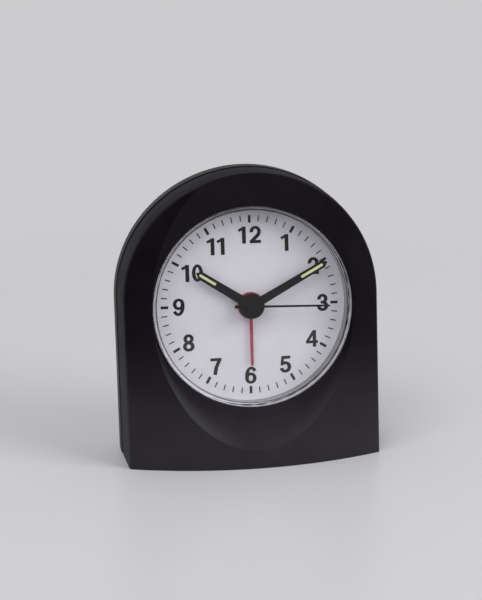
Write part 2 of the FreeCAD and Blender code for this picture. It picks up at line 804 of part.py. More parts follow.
def make_seconds_wheel():
    wheel = toothed(SECOND_TEETH, radius_of(SECOND_TEETH, INTER_ARM, INTER_PINION_TEETH), *SECOND_WHEEL_W)
    pitch = radius_of(SECOND_PINION_TEETH, THIRD_ARM, THIRD_TEETH)
    pinion = toothed(SECOND_PINION_TEETH, pitch, SECOND_WHEEL_W[1], SECOND_PINION_W[1])
    return join([rod(SECOND_ARBOR_R, ARBOR_W[0], SECOND_HAND_W[1]), wheel, pinion])


def make_third_wheel():
    at = third_at()
    phase = meshing_phase(0, SECOND_PINION_TEETH, THIRD_TEETH, (0, 0), at)
    pitch = radius_of(THIRD_TEETH, THIRD_ARM, SECOND_PINION_TEETH)
    wheel = toothed(THIRD_TEETH, pitch, *THIRD_WHEEL_W, phase, at)
    pitch = radius_of(THIRD_PINION_TEETH, THIRD_ARM, CENTRE_TEETH)
    pinion = toothed(THIRD_PINION_TEETH, pitch, THIRD_WHEEL_W[1], THIRD_PINION_W[1], 0, at)
    return join([arbor(at), wheel, pinion])


def make_centre_wheel():
    phase = meshing_phase(0, THIRD_PINION_TEETH, CENTRE_TEETH, third_at(), (0, 0))
    pitch = radius_of(CENTRE_TEETH, THIRD_ARM, THIRD_PINION_TEETH)
    wheel = toothed(CENTRE_TEETH, pitch, *CENTRE_WHEEL_W, phase)
    return wheel.cut(tube(MINUTE_TUBE_R[1], CENTRE_WHEEL_W[0] - 1, CENTRE_WHEEL_W[1] + 1))


def make_cannon_pinion():
    """Tube that carries the minute hand, with the pinion of the motion work."""
    pitch = radius_of(CANNON_TEETH, MOTION_ARM, MOTION_TEETH)
    leaves = toothed(CANNON_TEETH, pitch, *CANNON_PINION_W)
    body = join([tube(MINUTE_TUBE_R[1], CENTRE_WHEEL_W[0], MINUTE_HAND_W[1]), leaves])
    return body.cut(tube(MINUTE_TUBE_R[0], -FAR, FAR))


def motion_phase():
    return meshing_phase(0, CANNON_TEETH, MOTION_TEETH, (0, 0), motion_at())


def make_motion_wheel():
    at = motion_at()
    pitch = radius_of(MOTION_TEETH, MOTION_ARM, CANNON_TEETH)
    wheel = toothed(MOTION_TEETH, pitch, *MOTION_WHEEL_W, motion_phase(), at)
    pitch = radius_of(MOTION_PINION_TEETH, MOTION_ARM, HOUR_TEETH)
    pinion = toothed(MOTION_PINION_TEETH, pitch, MOTION_WHEEL_W[1], MOTION_PINION_W[1], 0, at)
    return join([wheel, pinion]).cut(rod(STUD_R + STUD_PLAY, -FAR, FAR, at))


def make_hour_wheel():
    phase = meshing_phase(0, MOTION_PINION_TEETH, HOUR_TEETH, motion_at(), (0, 0))
    pitch = radius_of(HOUR_TEETH, MOTION_ARM, MOTION_PINION_TEETH)
    wheel = toothed(HOUR_TEETH, pitch, *HOUR_WHEEL_W, phase)
    body = join([wheel, tube(HOUR_TUBE_R[1], HOUR_WHEEL_W[1], HOUR_HAND_W[1])])
    return body.cut(tube(HOUR_TUBE_R[0], -FAR, FAR))


def make_alarm_wheel():
    pitch = radius_of(ALARM_TEETH, ALARM_KNOB_ARM, ALARM_PINION_TEETH)
    wheel = toothed(ALARM_TEETH, pitch, *ALARM_WHEEL_W)
    body = join([wheel, tube(ALARM_TUBE_R[1], ALARM_WHEEL_W[1], ALARM_HAND_W[1])])
    return body.cut(tube(ALARM_TUBE_R[0], -FAR, FAR))


def knob_arbor(at, leaves):
    """Stout arbor from inside its knob to its bearing in the base plate."""
    shaft = rod(KNOB_SHAFT_R, KNOB_W[0] + KNOB_CROWN, BASE_PLATE_W[0] + KNOB_BEARING, at, SHAFT_SIDES)
    return join([shaft, leaves])


def make_time_arbor():
    at = TIME_KNOB_AT
    phase = meshing_phase(motion_phase(), MOTION_TEETH, TIME_PINION_TEETH, motion_at(), at)
    pitch = radius_of(TIME_PINION_TEETH, TIME_KNOB_ARM, MOTION_TEETH)
    return knob_arbor(at, toothed(TIME_PINION_TEETH, pitch, *CANNON_PINION_W, phase, at))


def make_alarm_arbor():
    at = alarm_knob_at()
    phase = meshing_phase(0, ALARM_TEETH, ALARM_PINION_TEETH, (0, 0), at)
    pitch = radius_of(ALARM_PINION_TEETH, ALARM_KNOB_ARM, ALARM_TEETH)
    return knob_arbor(at, toothed(ALARM_PINION_TEETH, pitch, *ALARM_PINION_W, phase, at))


def make_knob(at):
    """Fluted knob with a blind bore for its arbor."""
    low, high = KNOB_W
    step = 360 / KNOB_FLUTES
    outline = []
    for index in range(KNOB_FLUTES):
        for radius, share in ((KNOB_R, 0), (KNOB_R, 1 / 2), (KNOB_FLUTE_R, 3 / 4)):
            outline.append(polar(radius, (index + share) * step, at))
    return polygon(outline, low, high).cut(rod(KNOB_SHAFT_R, low + KNOB_CROWN, high + 1, at, SHAFT_SIDES))


# Movement housing and electrics

def make_movement_base():
    """Front tray: plate, centre sleeve through the dial, walls and two screw lugs."""
    low, high = BASE_PLATE_W
    tray = plate(MOVEMENT_HALF, MOVEMENT_CORNER, COVER_PLATE_W[1], high)
    room = plate(MOVEMENT_HALF - MOVEMENT_WALL, MOVEMENT_CORNER - 1, COVER_PLATE_W[1] - 1, low)
    lugs = [post(LUG_HALF, low, high, at) for at in lug_spots()]
    posts = [post(BRIDGE_POST_HALF, BRIDGE_W[1], low, at) for at in bridge_posts()]
    sleeve = tube(SLEEVE_R[1], low, SLEEVE_TOP)
    body = join([tray.cut(room), sleeve] + lugs + posts)
    body = body.cut(tube(SLEEVE_R[0], low - 1, SLEEVE_TOP + 1))
    for at in (TIME_KNOB_AT, alarm_knob_at()):
        body = body.cut(rod(KNOB_SHAFT_R + BEARING_PLAY, low - 1, low + KNOB_BEARING, at, SHAFT_SIDES))
    for at in lug_spots():
        body = body.cut(rod(SMALL_SCREW_R, low - 1, high + 1, at))
    return body


def bridge_posts():
    return [(-BRIDGE_POST_AT, BRIDGE_POST_AT), (BRIDGE_POST_AT, -BRIDGE_POST_AT)]


def make_bridge():
    """Middle plate with the holes of the train and the stud of the motion wheel."""
    low, high = BRIDGE_W
    body = plate(MOVEMENT_HALF - MOVEMENT_WALL - BRIDGE_PLAY, MOVEMENT_CORNER - 1, low, high)
    body = join([body, rod(STUD_R, high, MOTION_PINION_W[1] - STUD_SHORT, motion_at())])
    body = body.cut(tube(MINUTE_TUBE_R[1] + BEARING_PLAY, low - 1, high + 1))
    for at in (third_at(), inter_at(), rotor_at()):
        body = body.cut(rod(ARBOR_HOLE_R, low - 1, ARBOR_W[1], at))
    for at in (TIME_KNOB_AT, alarm_knob_at()):
        body = body.cut(rod(KNOB_SHAFT_R + BEARING_PLAY, low - 1, high + 1, at, SHAFT_SIDES))
    return body


def make_movement_cover():
    """Rear lid of the movement with bearings for every arbor."""
    low, high = COVER_PLATE_W
    posts = [post(STATOR_POST_HALF, high, STATOR_W[0], at) for at in STATOR_POSTS]
    posts += [post(BOARD_POST_HALF, BOARD_W[1], low, at) for at in BOARD_POSTS]
    body = join([plate(MOVEMENT_HALF, MOVEMENT_CORNER, low, high)] + posts)
    for at in ((0, 0), third_at(), inter_at(), rotor_at()):
        body = body.cut(rod(ARBOR_HOLE_R, ARBOR_W[0], high + 1, at))
    for at in (TIME_KNOB_AT, alarm_knob_at()):
        body = body.cut(rod(KNOB_SHAFT_R + BEARING_PLAY, low - 1, high + 1, at, SHAFT_SIDES))
    return body


def make_stator():
    """Soft iron plate with the rotor hole and two legs to the coil core."""
    low, high = STATOR_W
    at = rotor_at()
    left, right = COIL_SPAN
    foot = COIL_V - STATOR_FOOT
    outline = [
        (left - STATOR_LEG, foot), (left - STATOR_GAP, foot), (left - STATOR_GAP, STATOR_V[0]),
        (right + STATOR_GAP, STATOR_V[0]), (right + STATOR_GAP, foot), (right + STATOR_LEG, foot),
        (right + STATOR_LEG, STATOR_V[1]), (left - STATOR_LEG, STATOR_V[1]),
    ]
    eye = rod(STATOR_EYE_R[1], low, high, at, TUBE_SIDES)
    body = join([polygon(outline, low, high), eye])
    return body.cut(rod(STATOR_EYE_R[0], low - 1, high + 1, at, TUBE_SIDES))


def make_coil_core():
    left, right = COIL_SPAN
    low, high = 2 * COIL_W - STATOR_W[0], STATOR_W[0]
    return block(left - CORE_END, right + CORE_END, COIL_V - CORE_HALF_V, COIL_V + CORE_HALF_V, low, high)


def make_bobbin():
    """Square flanged former on the core."""
    left, right = COIL_SPAN
    spool = square_bar(SPOOL_HALF, left, right)
    ends = [square_bar(FLANGE_HALF, end, end + FLANGE) for end in (left, right - FLANGE)]
    return join([spool] + ends).cut(make_coil_core())


def square_bar(half, left, right):
    """A square bar round the coil's centre line."""
    return block(left, right, COIL_V - half, COIL_V + half, COIL_W - half, COIL_W + half)


def make_coil():
    left, right = COIL_SPAN
    winding = rod_along_u(COIL_R, left + FLANGE, right - FLANGE, COIL_V, COIL_W, TUBE_SIDES)
    return winding.cut(square_bar(SPOOL_HALF, left, right))


def make_circuit_board():
    return polygon(BOARD_OUTLINE, *BOARD_W)


def make_chip():
    """Low blob of resin over the timing chip."""
    return rod(CHIP_R, BOARD_W[0] - CHIP_HIGH, BOARD_W[0], CHIP_AT)


def make_crystal_can():
    """Tuning-fork crystal lying on the board."""
    u, v = CAN_AT
    return rod_along_u(CAN_R, u, u + CAN_LENGTH, v, BOARD_W[0] - CAN_R)


def make_snooze_switch():
    """Push contact on the board, under the snooze button's stem."""
    base = post(CONTACT_HALF, BOARD_W[0] - CONTACT_BASE, BOARD_W[0], (0, SNOOZE_V))
    return join([base, post(CONTACT_PLUNGER, CONTACT_TOP_W, BOARD_W[0] - CONTACT_BASE, (0, SNOOZE_V))])


def make_buzzer():
    """Brass disc with its ceramic layer."""
    middle = BUZZER_SEAT_W + BUZZER_LAYER
    brass = rod(BUZZER_R, BUZZER_SEAT_W, middle, (0, BUZZER_V), TUBE_SIDES)
    return join([brass, rod(CERAMIC_R, middle, middle + BUZZER_LAYER, (0, BUZZER_V), TUBE_SIDES)])


# Controls on the back

def make_snooze_button():
    """Pill-shaped push button with a retaining flange and a stem."""
    wide, tall = SNOOZE_SIZE
    at = (0, SNOOZE_V)
    inside = PANEL_W + PANEL_THICK + FLANGE_PLAY
    crown = PANEL_W - SNOOZE_PROUD
    head = pill(wide, tall, crown, inside, at)
    head = head.makeChamfer(SNOOZE_BEVEL, [e for e in head.Edges if e.BoundBox.ZMax < crown + ON_SURFACE])
    half_u, half_v = wide / 2 + SNOOZE_LEDGE, tall / 2 + SNOOZE_LEDGE
    flange = block(-half_u, half_u, SNOOZE_V - half_v, SNOOZE_V + half_v, inside, inside + SNOOZE_FLANGE)
    stem = post(SNOOZE_STEM, inside + SNOOZE_FLANGE, CONTACT_TOP_W - SNOOZE_TRAVEL - FLANGE_PLAY, at)
    return join([head, flange, stem])


def make_alarm_switch():
    """Slider at its left stop, seen from the front, with a ridged head."""
    half_u, half_v = SWITCH_HEAD[0] / 2, SWITCH_HEAD[1] / 2
    centre = -SWITCH_TRAVEL / 2
    inside = PANEL_W + PANEL_THICK + FLANGE_PLAY
    head = block(centre - half_u, centre + half_u, SWITCH_V - half_v, SWITCH_V + half_v,
                 PANEL_W - SWITCH_PROUD, inside)
    wide, tall = SHOE_HALF
    shoe = block(centre - wide, centre + wide, SWITCH_V - tall, SWITCH_V + tall, inside, inside + SHOE_THICK)
    body = join([head, shoe])
    low, high = SWITCH_V - half_v - 1, SWITCH_V + half_v + 1
    top = PANEL_W - SWITCH_PROUD
    for index in range(SWITCH_RIDGES):
        u = centre + index - (SWITCH_RIDGES - 1) / 2
        body = body.cut(block(u - SWITCH_GROOVE, u + SWITCH_GROOVE, low, high, top - 1, top + SWITCH_GROOVE))
    return body


def make_switch_body():
    """Sliding contact block on the board, under the alarm switch."""
    half_u, half_v = SWITCH_BODY_HALF
    front = PANEL_W + PANEL_THICK + FLANGE_PLAY + SHOE_THICK + FLANGE_PLAY
    return block(-half_u, half_u, SWITCH_V - half_v, SWITCH_V + half_v, front, BOARD_W[0])


# Screws

def screw(at, seat, head_r, head_high, shank_r, length):
    """Pan-head screw whose head lies behind its seat."""
    head = rod(head_r, seat - head_high, seat, at)
    return join([head, rod(shank_r, seat, seat + length, at)])


def make_case_screws():
    size = (CASE_SEAT_W, CASE_HEAD_R, CASE_HEAD_HIGH, CASE_SCREW_R, CASE_SCREW_LENGTH)
    return Part.makeCompound([screw(at, *size) for at in CASE_SCREW_AT])


def make_movement_screws():
    size = (BASE_PLATE_W[0], SMALL_HEAD_R, SMALL_HEAD_HIGH, SMALL_SCREW_R, SMALL_SCREW_LENGTH)
    return Part.makeCompound([screw(at, *size) for at in lug_spots()])


PIECES = {
    "front_case": make_front_case,
    "rear_cover": make_rear_cover,
    "battery_door": make_battery_door,
    "crystal": make_crystal,
    "dial": make_dial,
    "hour_hand": make_hour_hand,
    "hour_hand_lume": make_hour_lume,
    "minute_hand": make_minute_hand,
    "minute_hand_lume": make_minute_lume,
    "second_hand": make_second_hand,
    "alarm_hand": make_alarm_hand,
    "movement_base": make_movement_base,
    "movement_bridge": make_bridge,
    "movement_cover": make_movement_cover,
    "rotor_magnet": make_rotor_magnet,
    "rotor_pinion": make_rotor_pinion,
    "intermediate_wheel": make_intermediate_wheel,
    "seconds_wheel": make_seconds_wheel,
    "third_wheel": make_third_wheel,
    "centre_wheel": make_centre_wheel,
    "cannon_pinion": make_cannon_pinion,
    "motion_wheel": make_motion_wheel,
    "hour_wheel": make_hour_wheel,
    "alarm_wheel": make_alarm_wheel,
    "time_set_arbor": make_time_arbor,
    "time_set_knob": lambda: make_knob(TIME_KNOB_AT),
    "alarm_set_arbor": make_alarm_arbor,
    "alarm_set_knob": lambda: make_knob(alarm_knob_at()),
    "stator": make_stator,
    "coil_core": make_coil_core,
    "coil_bobbin": make_bobbin,
    "coil_winding": make_coil,
    "circuit_board": make_circuit_board,
    "timing_chip": make_chip,
    "quartz_can": make_crystal_can,
    "snooze_contact": make_snooze_switch,
    "alarm_contact": make_switch_body,
    "buzzer_disc": make_buzzer,
    "snooze_button": make_snooze_button,
    "alarm_switch": make_alarm_switch,
    "aa_cell": make_cell,
    "positive_contact": make_positive_contact,
    "negative_contact": make_negative_contact,
    "case_screws": make_case_screws,
    "movement_screws": make_movement_screws,
}

os.makedirs("parts", exist_ok=True)
for name, make in PIECES.items():
    stand(make()).exportStep("parts/" + name + ".step")
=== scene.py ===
"""Looks of a bedside quartz alarm clock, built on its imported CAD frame."""

import json
import logging
import math
from collections.abc import Iterable
from dataclasses import dataclass
from enum import Enum

import bmesh
import bpy
from bmesh.types import BMEdge, BMesh, BMVert
from bpy.types import Material, Node, NodeSocket, NodeTree, Object
from mathutils import Matrix, Vector

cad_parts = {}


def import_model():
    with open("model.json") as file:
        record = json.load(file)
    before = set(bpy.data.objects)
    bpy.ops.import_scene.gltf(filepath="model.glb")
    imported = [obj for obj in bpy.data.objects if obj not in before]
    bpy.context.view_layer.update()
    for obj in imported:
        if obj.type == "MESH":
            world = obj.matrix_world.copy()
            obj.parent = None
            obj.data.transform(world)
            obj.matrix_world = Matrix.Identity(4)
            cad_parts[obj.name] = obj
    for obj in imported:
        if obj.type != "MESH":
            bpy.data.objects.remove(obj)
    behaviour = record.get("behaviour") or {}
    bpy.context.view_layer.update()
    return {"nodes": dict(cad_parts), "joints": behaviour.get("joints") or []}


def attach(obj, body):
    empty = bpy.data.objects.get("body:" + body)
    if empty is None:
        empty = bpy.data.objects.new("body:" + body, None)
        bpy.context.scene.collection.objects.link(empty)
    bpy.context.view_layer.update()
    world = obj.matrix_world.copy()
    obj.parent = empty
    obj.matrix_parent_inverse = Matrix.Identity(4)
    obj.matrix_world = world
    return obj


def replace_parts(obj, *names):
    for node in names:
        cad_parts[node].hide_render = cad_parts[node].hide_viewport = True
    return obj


LOG = logging.getLogger("alarm_clock")
MM = 0.001
MERGE = 2e-6
WELD = 1e-4
FLAT = math.radians(0.4)
FULL_TURN = 2 * math.pi
CLOUDS = (0.4, 0.65)
RIPPLES = (0.35, 0.65)

Pair = tuple[float, float]
Triple = tuple[float, float, float]


class Body(str, Enum):
    """CAD bodies that the added pieces ride on."""

    CASE = "case_and_movement"
    SECONDS = "seconds_train"
    MINUTES = "minute_train"
    HOURS = "hour_train"
    ALARM = "alarm_train"
    TIME_KNOB = "time_setting"
    ALARM_KNOB = "alarm_setting"
    SNOOZE = "snooze"
    SLIDER = "alarm_slider"
    DOOR = "door"


@dataclass(frozen=True)
class DialFrame:
    """Leaning frame of the dial in millimetres: u to the right, v up the lean, w outwards."""

    origin: Vector
    out: Vector

    @classmethod
    def from_joints(cls, joints: list[dict]) -> "DialFrame":
        """Reads the frame, on the dial's front, from the joint that the second hand turns on."""
        turn = next(joint for joint in joints if joint["name"] == "seconds_turn")
        return cls(Vector(turn["pos_m"]), -Vector(turn["axis"]))

    def matrix(self) -> Matrix:
        """Works out the way from this frame to the row frame.

        Returns:
            Matrix from millimetres in this frame to metres in the row frame.
        """
        right = Vector((1.0, 0.0, 0.0))
        up = self.out.cross(right)
        columns = Matrix((right, up, self.out)).transposed()
        return Matrix.Translation(self.origin) @ columns.to_4x4() @ Matrix.Scale(MM, 4)

    def lay(self, shape: BMesh, place: Matrix = Matrix.Identity(4)) -> None:
        """Turns a closed mesh's faces outwards and lays it at a place in this frame."""
        bmesh.ops.recalc_face_normals(shape, faces=shape.faces[:])
        bmesh.ops.transform(shape, matrix=self.matrix() @ place, verts=shape.verts[:])


def about_z(angle: float) -> Matrix:
    """Turn round the z axis by an angle in radians."""
    return Matrix.Rotation(angle, 4, "Z")


# Shader boards and shared effects


class Board:
    """A node tree with short ways to place and join its nodes."""

    def __init__(self, tree: NodeTree) -> None:
        """Takes the node tree to fill and empties it."""
        self.tree = tree
        tree.nodes.clear()

    def add(self, kind: str, values: dict | None = None, **settings: object) -> Node:
        """Places a node.

        Args:
            kind: the node's type without its ShaderNode prefix, or a full type name.
            values: plain numbers, colours or output sockets by input name or index.
            settings: properties of the node itself.

        Returns:
            The new node.
        """
        node = self.tree.nodes.new(kind if kind.startswith("Node") else "ShaderNode" + kind)
        for name, value in settings.items():
            setattr(node, name, value)
        for key, value in (values or {}).items():
            self.feed(node.inputs[key], value)
        return node

    def feed(self, socket: NodeSocket, value: object) -> None:
        """Gives an input socket another node's output or a plain value.

        Args:
            socket: the input.
            value: an output socket, a number or a colour.
        """
        if isinstance(value, NodeSocket):
            self.tree.links.new(value, socket)
        else:
            socket.default_value = value

    def maths(self, operation: str, first: object, second: object) -> NodeSocket:
        """Places a math node and returns its output."""
        return self.add("Math", {0: first, 1: second}, operation=operation).outputs[0]

    def mean(self, first: object, share: float, second: object) -> NodeSocket:
        """Adds up a share of one value and the rest of another."""
        rest = self.maths("MULTIPLY", second, 1.0 - share)
        return self.maths("ADD", self.maths("MULTIPLY", first, share), rest)

    def spread(
        self, value: object, low: float, high: float, start: float = 0.0, end: float = 1.0
    ) -> NodeSocket:
        """Maps a value smoothly from the range low to high onto start to end."""
        sizes = {0: value, 1: low, 2: high, 3: start, 4: end}
        return self.add("MapRange", sizes, interpolation_type="SMOOTHSTEP").outputs[0]

    def noise(
        self, place: object, scale: object, detail: float, roughness: float = 0.5
    ) -> NodeSocket:
        """Places a noise and returns its value."""
        values = {"Vector": place, "Scale": scale, "Detail": detail, "Roughness": roughness}
        return self.add("TexNoise", values).outputs[0]

    def blend(self, share: object, first: object, second: object) -> NodeSocket:
        """Places a colour mix, all second colour at a share of 1, and returns its output."""
        return self.add("Mix", {0: share, 6: first, 7: second}, data_type="RGBA").outputs[2]

    def either(self, share: object, first: object, second: object) -> NodeSocket:
        """Places a shader mix, all second shader at a share of 1, and returns its output."""
        return self.add("MixShader", {0: share, 1: first, 2: second}).outputs[0]

    def relief(self, height: object, strength: float, distance: float) -> NodeSocket:
        """Places a bump and returns its normal."""
        values = {"Height": height, "Strength": strength, "Distance": distance}
        return self.add("Bump", values).outputs[0]

    def surface(self, **inputs: object) -> NodeSocket:
        """Places a surface's shader, whose inputs are named with underscores for spaces."""
        values = {name.replace("_", " "): value for name, value in inputs.items()}
        return self.add("BsdfPrincipled", values).outputs[0]


class Effect:
    """A shader node group that several finishes share."""

    title = ""
    takes: tuple[tuple[str, str, object], ...] = ()
    gives: tuple[str, ...] = ()
    _built: dict[str, NodeTree] = {}

    @classmethod
    def group(cls) -> NodeTree:
        """Builds the group on its first use.

        Returns:
            The same group each time.
        """
        if cls.title not in cls._built:
            tree = bpy.data.node_groups.new(cls.title, "ShaderNodeTree")
            new_socket = tree.interface.new_socket
            for name, kind, value in cls.takes:
                socket = new_socket(name, in_out="INPUT", socket_type="NodeSocket" + kind)
                socket.default_value = value
            for name in cls.gives:
                new_socket(name, in_out="OUTPUT", socket_type="NodeSocketFloat")
            board = Board(tree)
            source = board.add("NodeGroupInput")
            drain = board.add("NodeGroupOutput")
            for name, socket in cls.wire(board, source.outputs).items():
                tree.links.new(socket, drain.inputs[name])
            cls._built[cls.title] = tree
        return cls._built[cls.title]

    @classmethod
    def wire(cls, board: Board, source: object) -> dict[str, NodeSocket]:
        """Places the group's nodes.

        Args:
            board: the group's board.
            source: the group's inputs, by name.

        Returns:
            The sockets that feed the group's outputs, by name.
        """
        raise NotImplementedError

    @classmethod
    def place(cls, board: Board, **values: object) -> object:
        """Places the effect with its inputs by name and returns its outputs."""
        return board.add("Group", values, node_tree=cls.group()).outputs


class MouldGrain(Effect):
    """Fine pebbled skin that a textured mould leaves, with slow clouds of gloss."""

    title = "mould grain"
    takes = (
        ("Place", "Vector", (0, 0, 0)), ("Grains", "Float", 2500.0), ("Clouds", "Float", 60.0),
    )
    gives = ("Height", "Gloss")
    fine_detail = (3.0, 0.6)
    cloud_detail = 4.0
    pit_height = 0.5
    cloud_share = 0.7

    @classmethod
    def wire(cls, board: Board, source: object) -> dict[str, NodeSocket]:
        """Places the grain's noises; see Effect.wire."""
        place, grains = source["Place"], source["Grains"]
        fine = board.noise(place, grains, *cls.fine_detail)
        slow = board.noise(place, source["Clouds"], cls.cloud_detail)
        cells = board.add("TexVoronoi", {"Vector": place, "Scale": grains}, feature="SMOOTH_F1")
        pits = board.maths("MULTIPLY", cells.outputs[0], cls.pit_height)
        height = board.maths("ADD", fine, pits)
        return {"Height": height, "Gloss": board.mean(slow, cls.cloud_share, fine)}


class EdgeWear(Effect):
    """Mask of the sharp corners that handling rubs, broken up by noise."""

    title = "edge wear"
    takes = (
        ("Place", "Vector", (0, 0, 0)), ("Reach", "Float", 0.0004), ("Patches", "Float", 300.0),
    )
    gives = ("Mask",)
    samples = 4
    corner = (0.999, 0.93)
    patch_detail = 3.0
    patch_range = (0.4, 0.65, 0.25, 1.0)

    @classmethod
    def wire(cls, board: Board, source: object) -> dict[str, NodeSocket]:
        """Compares the rounded normal with the true one; see Effect.wire."""
        rounded = board.add("Bevel", {"Radius": source["Reach"]}, samples=cls.samples).outputs[0]
        true = board.add("NewGeometry").outputs["Normal"]
        along = board.add("VectorMath", {0: rounded, 1: true}, operation="DOT_PRODUCT")
        edge = board.spread(along.outputs["Value"], *cls.corner)
        patch = board.noise(source["Place"], source["Patches"], cls.patch_detail)
        return {"Mask": board.maths("MULTIPLY", edge, board.spread(patch, *cls.patch_range))}


class Brushing(Effect):
    """Fine parallel scratches of rolled or brushed metal."""

    title = "brushing"
    takes = (
        ("Place", "Vector", (0, 0, 0)), ("Strokes", "Float", 900.0),
        ("Stretch", "Vector", (1, 1, 0.04)),
    )
    gives = ("Height", "Gloss")
    line_detail = 2.0
    stain_size = (120.0, 4.0)
    line_share = 0.6

    @classmethod
    def wire(cls, board: Board, source: object) -> dict[str, NodeSocket]:
        """Stretches one noise along the strokes; see Effect.wire."""
        ends = {0: source["Place"], 1: source["Stretch"]}
        drawn = board.add("VectorMath", ends, operation="MULTIPLY").outputs[0]
        lines = board.noise(drawn, source["Strokes"], cls.line_detail)
        stains = board.noise(source["Place"], *cls.stain_size)
        return {"Height": lines, "Gloss": board.mean(lines, cls.line_share, stains)}


# Finishes


def tone(colour: Triple, factor: float = 1.0, lift: float = 0.0) -> tuple[float, ...]:
    """Scales and lifts a colour's channels and makes it opaque."""
    return (*(channel * factor + lift for channel in colour), 1.0)


def bare_board(made: Material | bpy.types.World) -> Board:
    """Empties a new material's or world's nodes and returns its board."""
    made.use_nodes = True
    return Board(made.node_tree)


@dataclass(frozen=True)
class Finish:
    """What all finishes share: a name and a way to make the material once."""

    title: str

    def material(self) -> Material:
        """Makes the material on its first use.

        Returns:
            The same material each time.
        """
        made = bpy.data.materials.get(self.title)
        if made is None:
            made = bpy.data.materials.new(self.title)
            board = bare_board(made)
            board.add("OutputMaterial", {"Surface": self.shade(board)})
        return made

    def shade(self, board: Board) -> NodeSocket:
        """Places the material's nodes.

        Args:
            board: the material's board.

        Returns:
            The shader that the surface shows.
        """
        raise NotImplementedError

    @staticmethod
    def place(board: Board) -> NodeSocket:
        """Object coordinates, in metres in the row frame."""
        return board.add("TexCoord").outputs["Object"]


@dataclass(frozen=True)
class Moulded(Finish):
    """Moulded plastic with a fine skin, slow clouds of tone and rubbed edges.

    The polish tells how much smoother the skin is where it looks forward; the colour also
    carries painted light from the table, lighter towards the bottom, in patches.
    """

    colour: Triple
    roughness: Pair
    grains: float
    depth: float
    shine: float = 0.5
    wear: float = 0.3
    cloud: float = 1.5
    polish: float = 0.0
    foot: float = 0.0
    forward: Pair = (-0.45, -0.7)
    film: Triple = (0.05, 0.046, 0.056)
    film_heights: Pair = (0.05, 0.002)
    film_patches: tuple[float, ...] = (0.3, 0.7, 0.8, 1.0)
    lifts: Pair = (0.001, 0.015)
    shines_at: Pair = (0.35, 0.7)
    relief: float = 0.00005

    def shade(self, board: Board) -> NodeSocket:
        """Grain drives bump and roughness, wear and painted table light tint the colour; see
        Finish.shade.
        """
        place = self.place(board)
        grain = MouldGrain.place(board, Place=place, Grains=self.grains)
        edge = EdgeWear.place(board, Place=place)["Mask"]
        clouds = board.spread(grain["Gloss"], *CLOUDS)
        pale, rubbed = (tone(self.colour, self.cloud, lift) for lift in self.lifts)
        skin = board.blend(clouds, tone(self.colour), pale)
        skin = board.blend(board.maths("MULTIPLY", edge, self.wear), skin, rubbed)
        # Painted light from the table: the colour grows lighter towards the bottom, in patches, by
        # height.
        height = board.add("SeparateXYZ", {0: place}).outputs[2]
        film = board.spread(height, *self.film_heights, 0.0, self.foot)
        patches = board.spread(grain["Gloss"], *self.film_patches)
        skin = board.blend(board.maths("MULTIPLY", film, patches), skin, tone(self.film))
        normal = board.add("TexCoord").outputs["Normal"]
        ahead = board.add("SeparateXYZ", {0: normal}).outputs[1]
        smoother = board.spread(ahead, *self.forward, 1.0, 1.0 - self.polish)
        gloss = board.spread(grain["Gloss"], *self.shines_at, *self.roughness)
        gloss = board.maths("MULTIPLY", gloss, smoother)
        bump = board.relief(grain["Height"], self.depth, self.relief)
        return board.surface(
            Base_Color=skin, Roughness=gloss, Normal=bump, Specular_IOR_Level=self.shine
        )


@dataclass(frozen=True)
class Metal(Finish):
    """Bare or plated metal with brushing and slightly rubbed edges."""

    colour: Triple
    roughness: Pair
    strokes: float
    stretch: Triple
    tarnish: float
    edge_reach: float = 0.0002
    edge_share: float = 0.5
    edge_tone: Pair = (1.15, 0.02)
    relief: Pair = (0.1, 0.00002)

    def shade(self, board: Board) -> NodeSocket:
        """Brushing drives bump and roughness, stains darken the colour; see Finish.shade."""
        place = self.place(board)
        strokes = Brushing.place(board, Place=place, Strokes=self.strokes, Stretch=self.stretch)
        edge = EdgeWear.place(board, Place=place, Reach=self.edge_reach)["Mask"]
        stains = board.spread(strokes["Gloss"], *CLOUDS)
        skin = board.blend(stains, tone(self.colour), tone(self.colour, 1.0 - self.tarnish))
        rubbed = board.maths("MULTIPLY", edge, self.edge_share)
        skin = board.blend(rubbed, skin, tone(self.colour, *self.edge_tone))
        gloss = board.spread(strokes["Gloss"], *RIPPLES, *self.roughness)
        bump = board.relief(strokes["Height"], *self.relief)
        return board.surface(Base_Color=skin, Roughness=gloss, Normal=bump, Metallic=1.0)


@dataclass(frozen=True)
class Painted(Finish):
    """Paint or ink in a thin even coat with a faint orange peel."""

    colour: Triple
    roughness: Pair
    peel: float
    depth: float
    tint: float
    shine: float = 0.5
    patch: float = 15.0
    details: Pair = (4.0, 3.0)
    relief: float = 0.00002

    def shade(self, board: Board) -> NodeSocket:
        """One noise for the peel and one for the tone; see Finish.shade."""
        place = self.place(board)
        fine, broad = self.details
        peel = board.noise(place, self.peel, fine)
        patches = board.spread(board.noise(place, self.peel / self.patch, broad), *RIPPLES)
        coat = board.blend(patches, tone(self.colour), tone(self.colour, 1.0 - self.tint))
        gloss = board.spread(peel, *RIPPLES, *self.roughness)
        bump = board.relief(peel, self.depth, self.relief)
        return board.surface(
            Base_Color=coat, Roughness=gloss, Normal=bump, Specular_IOR_Level=self.shine
        )


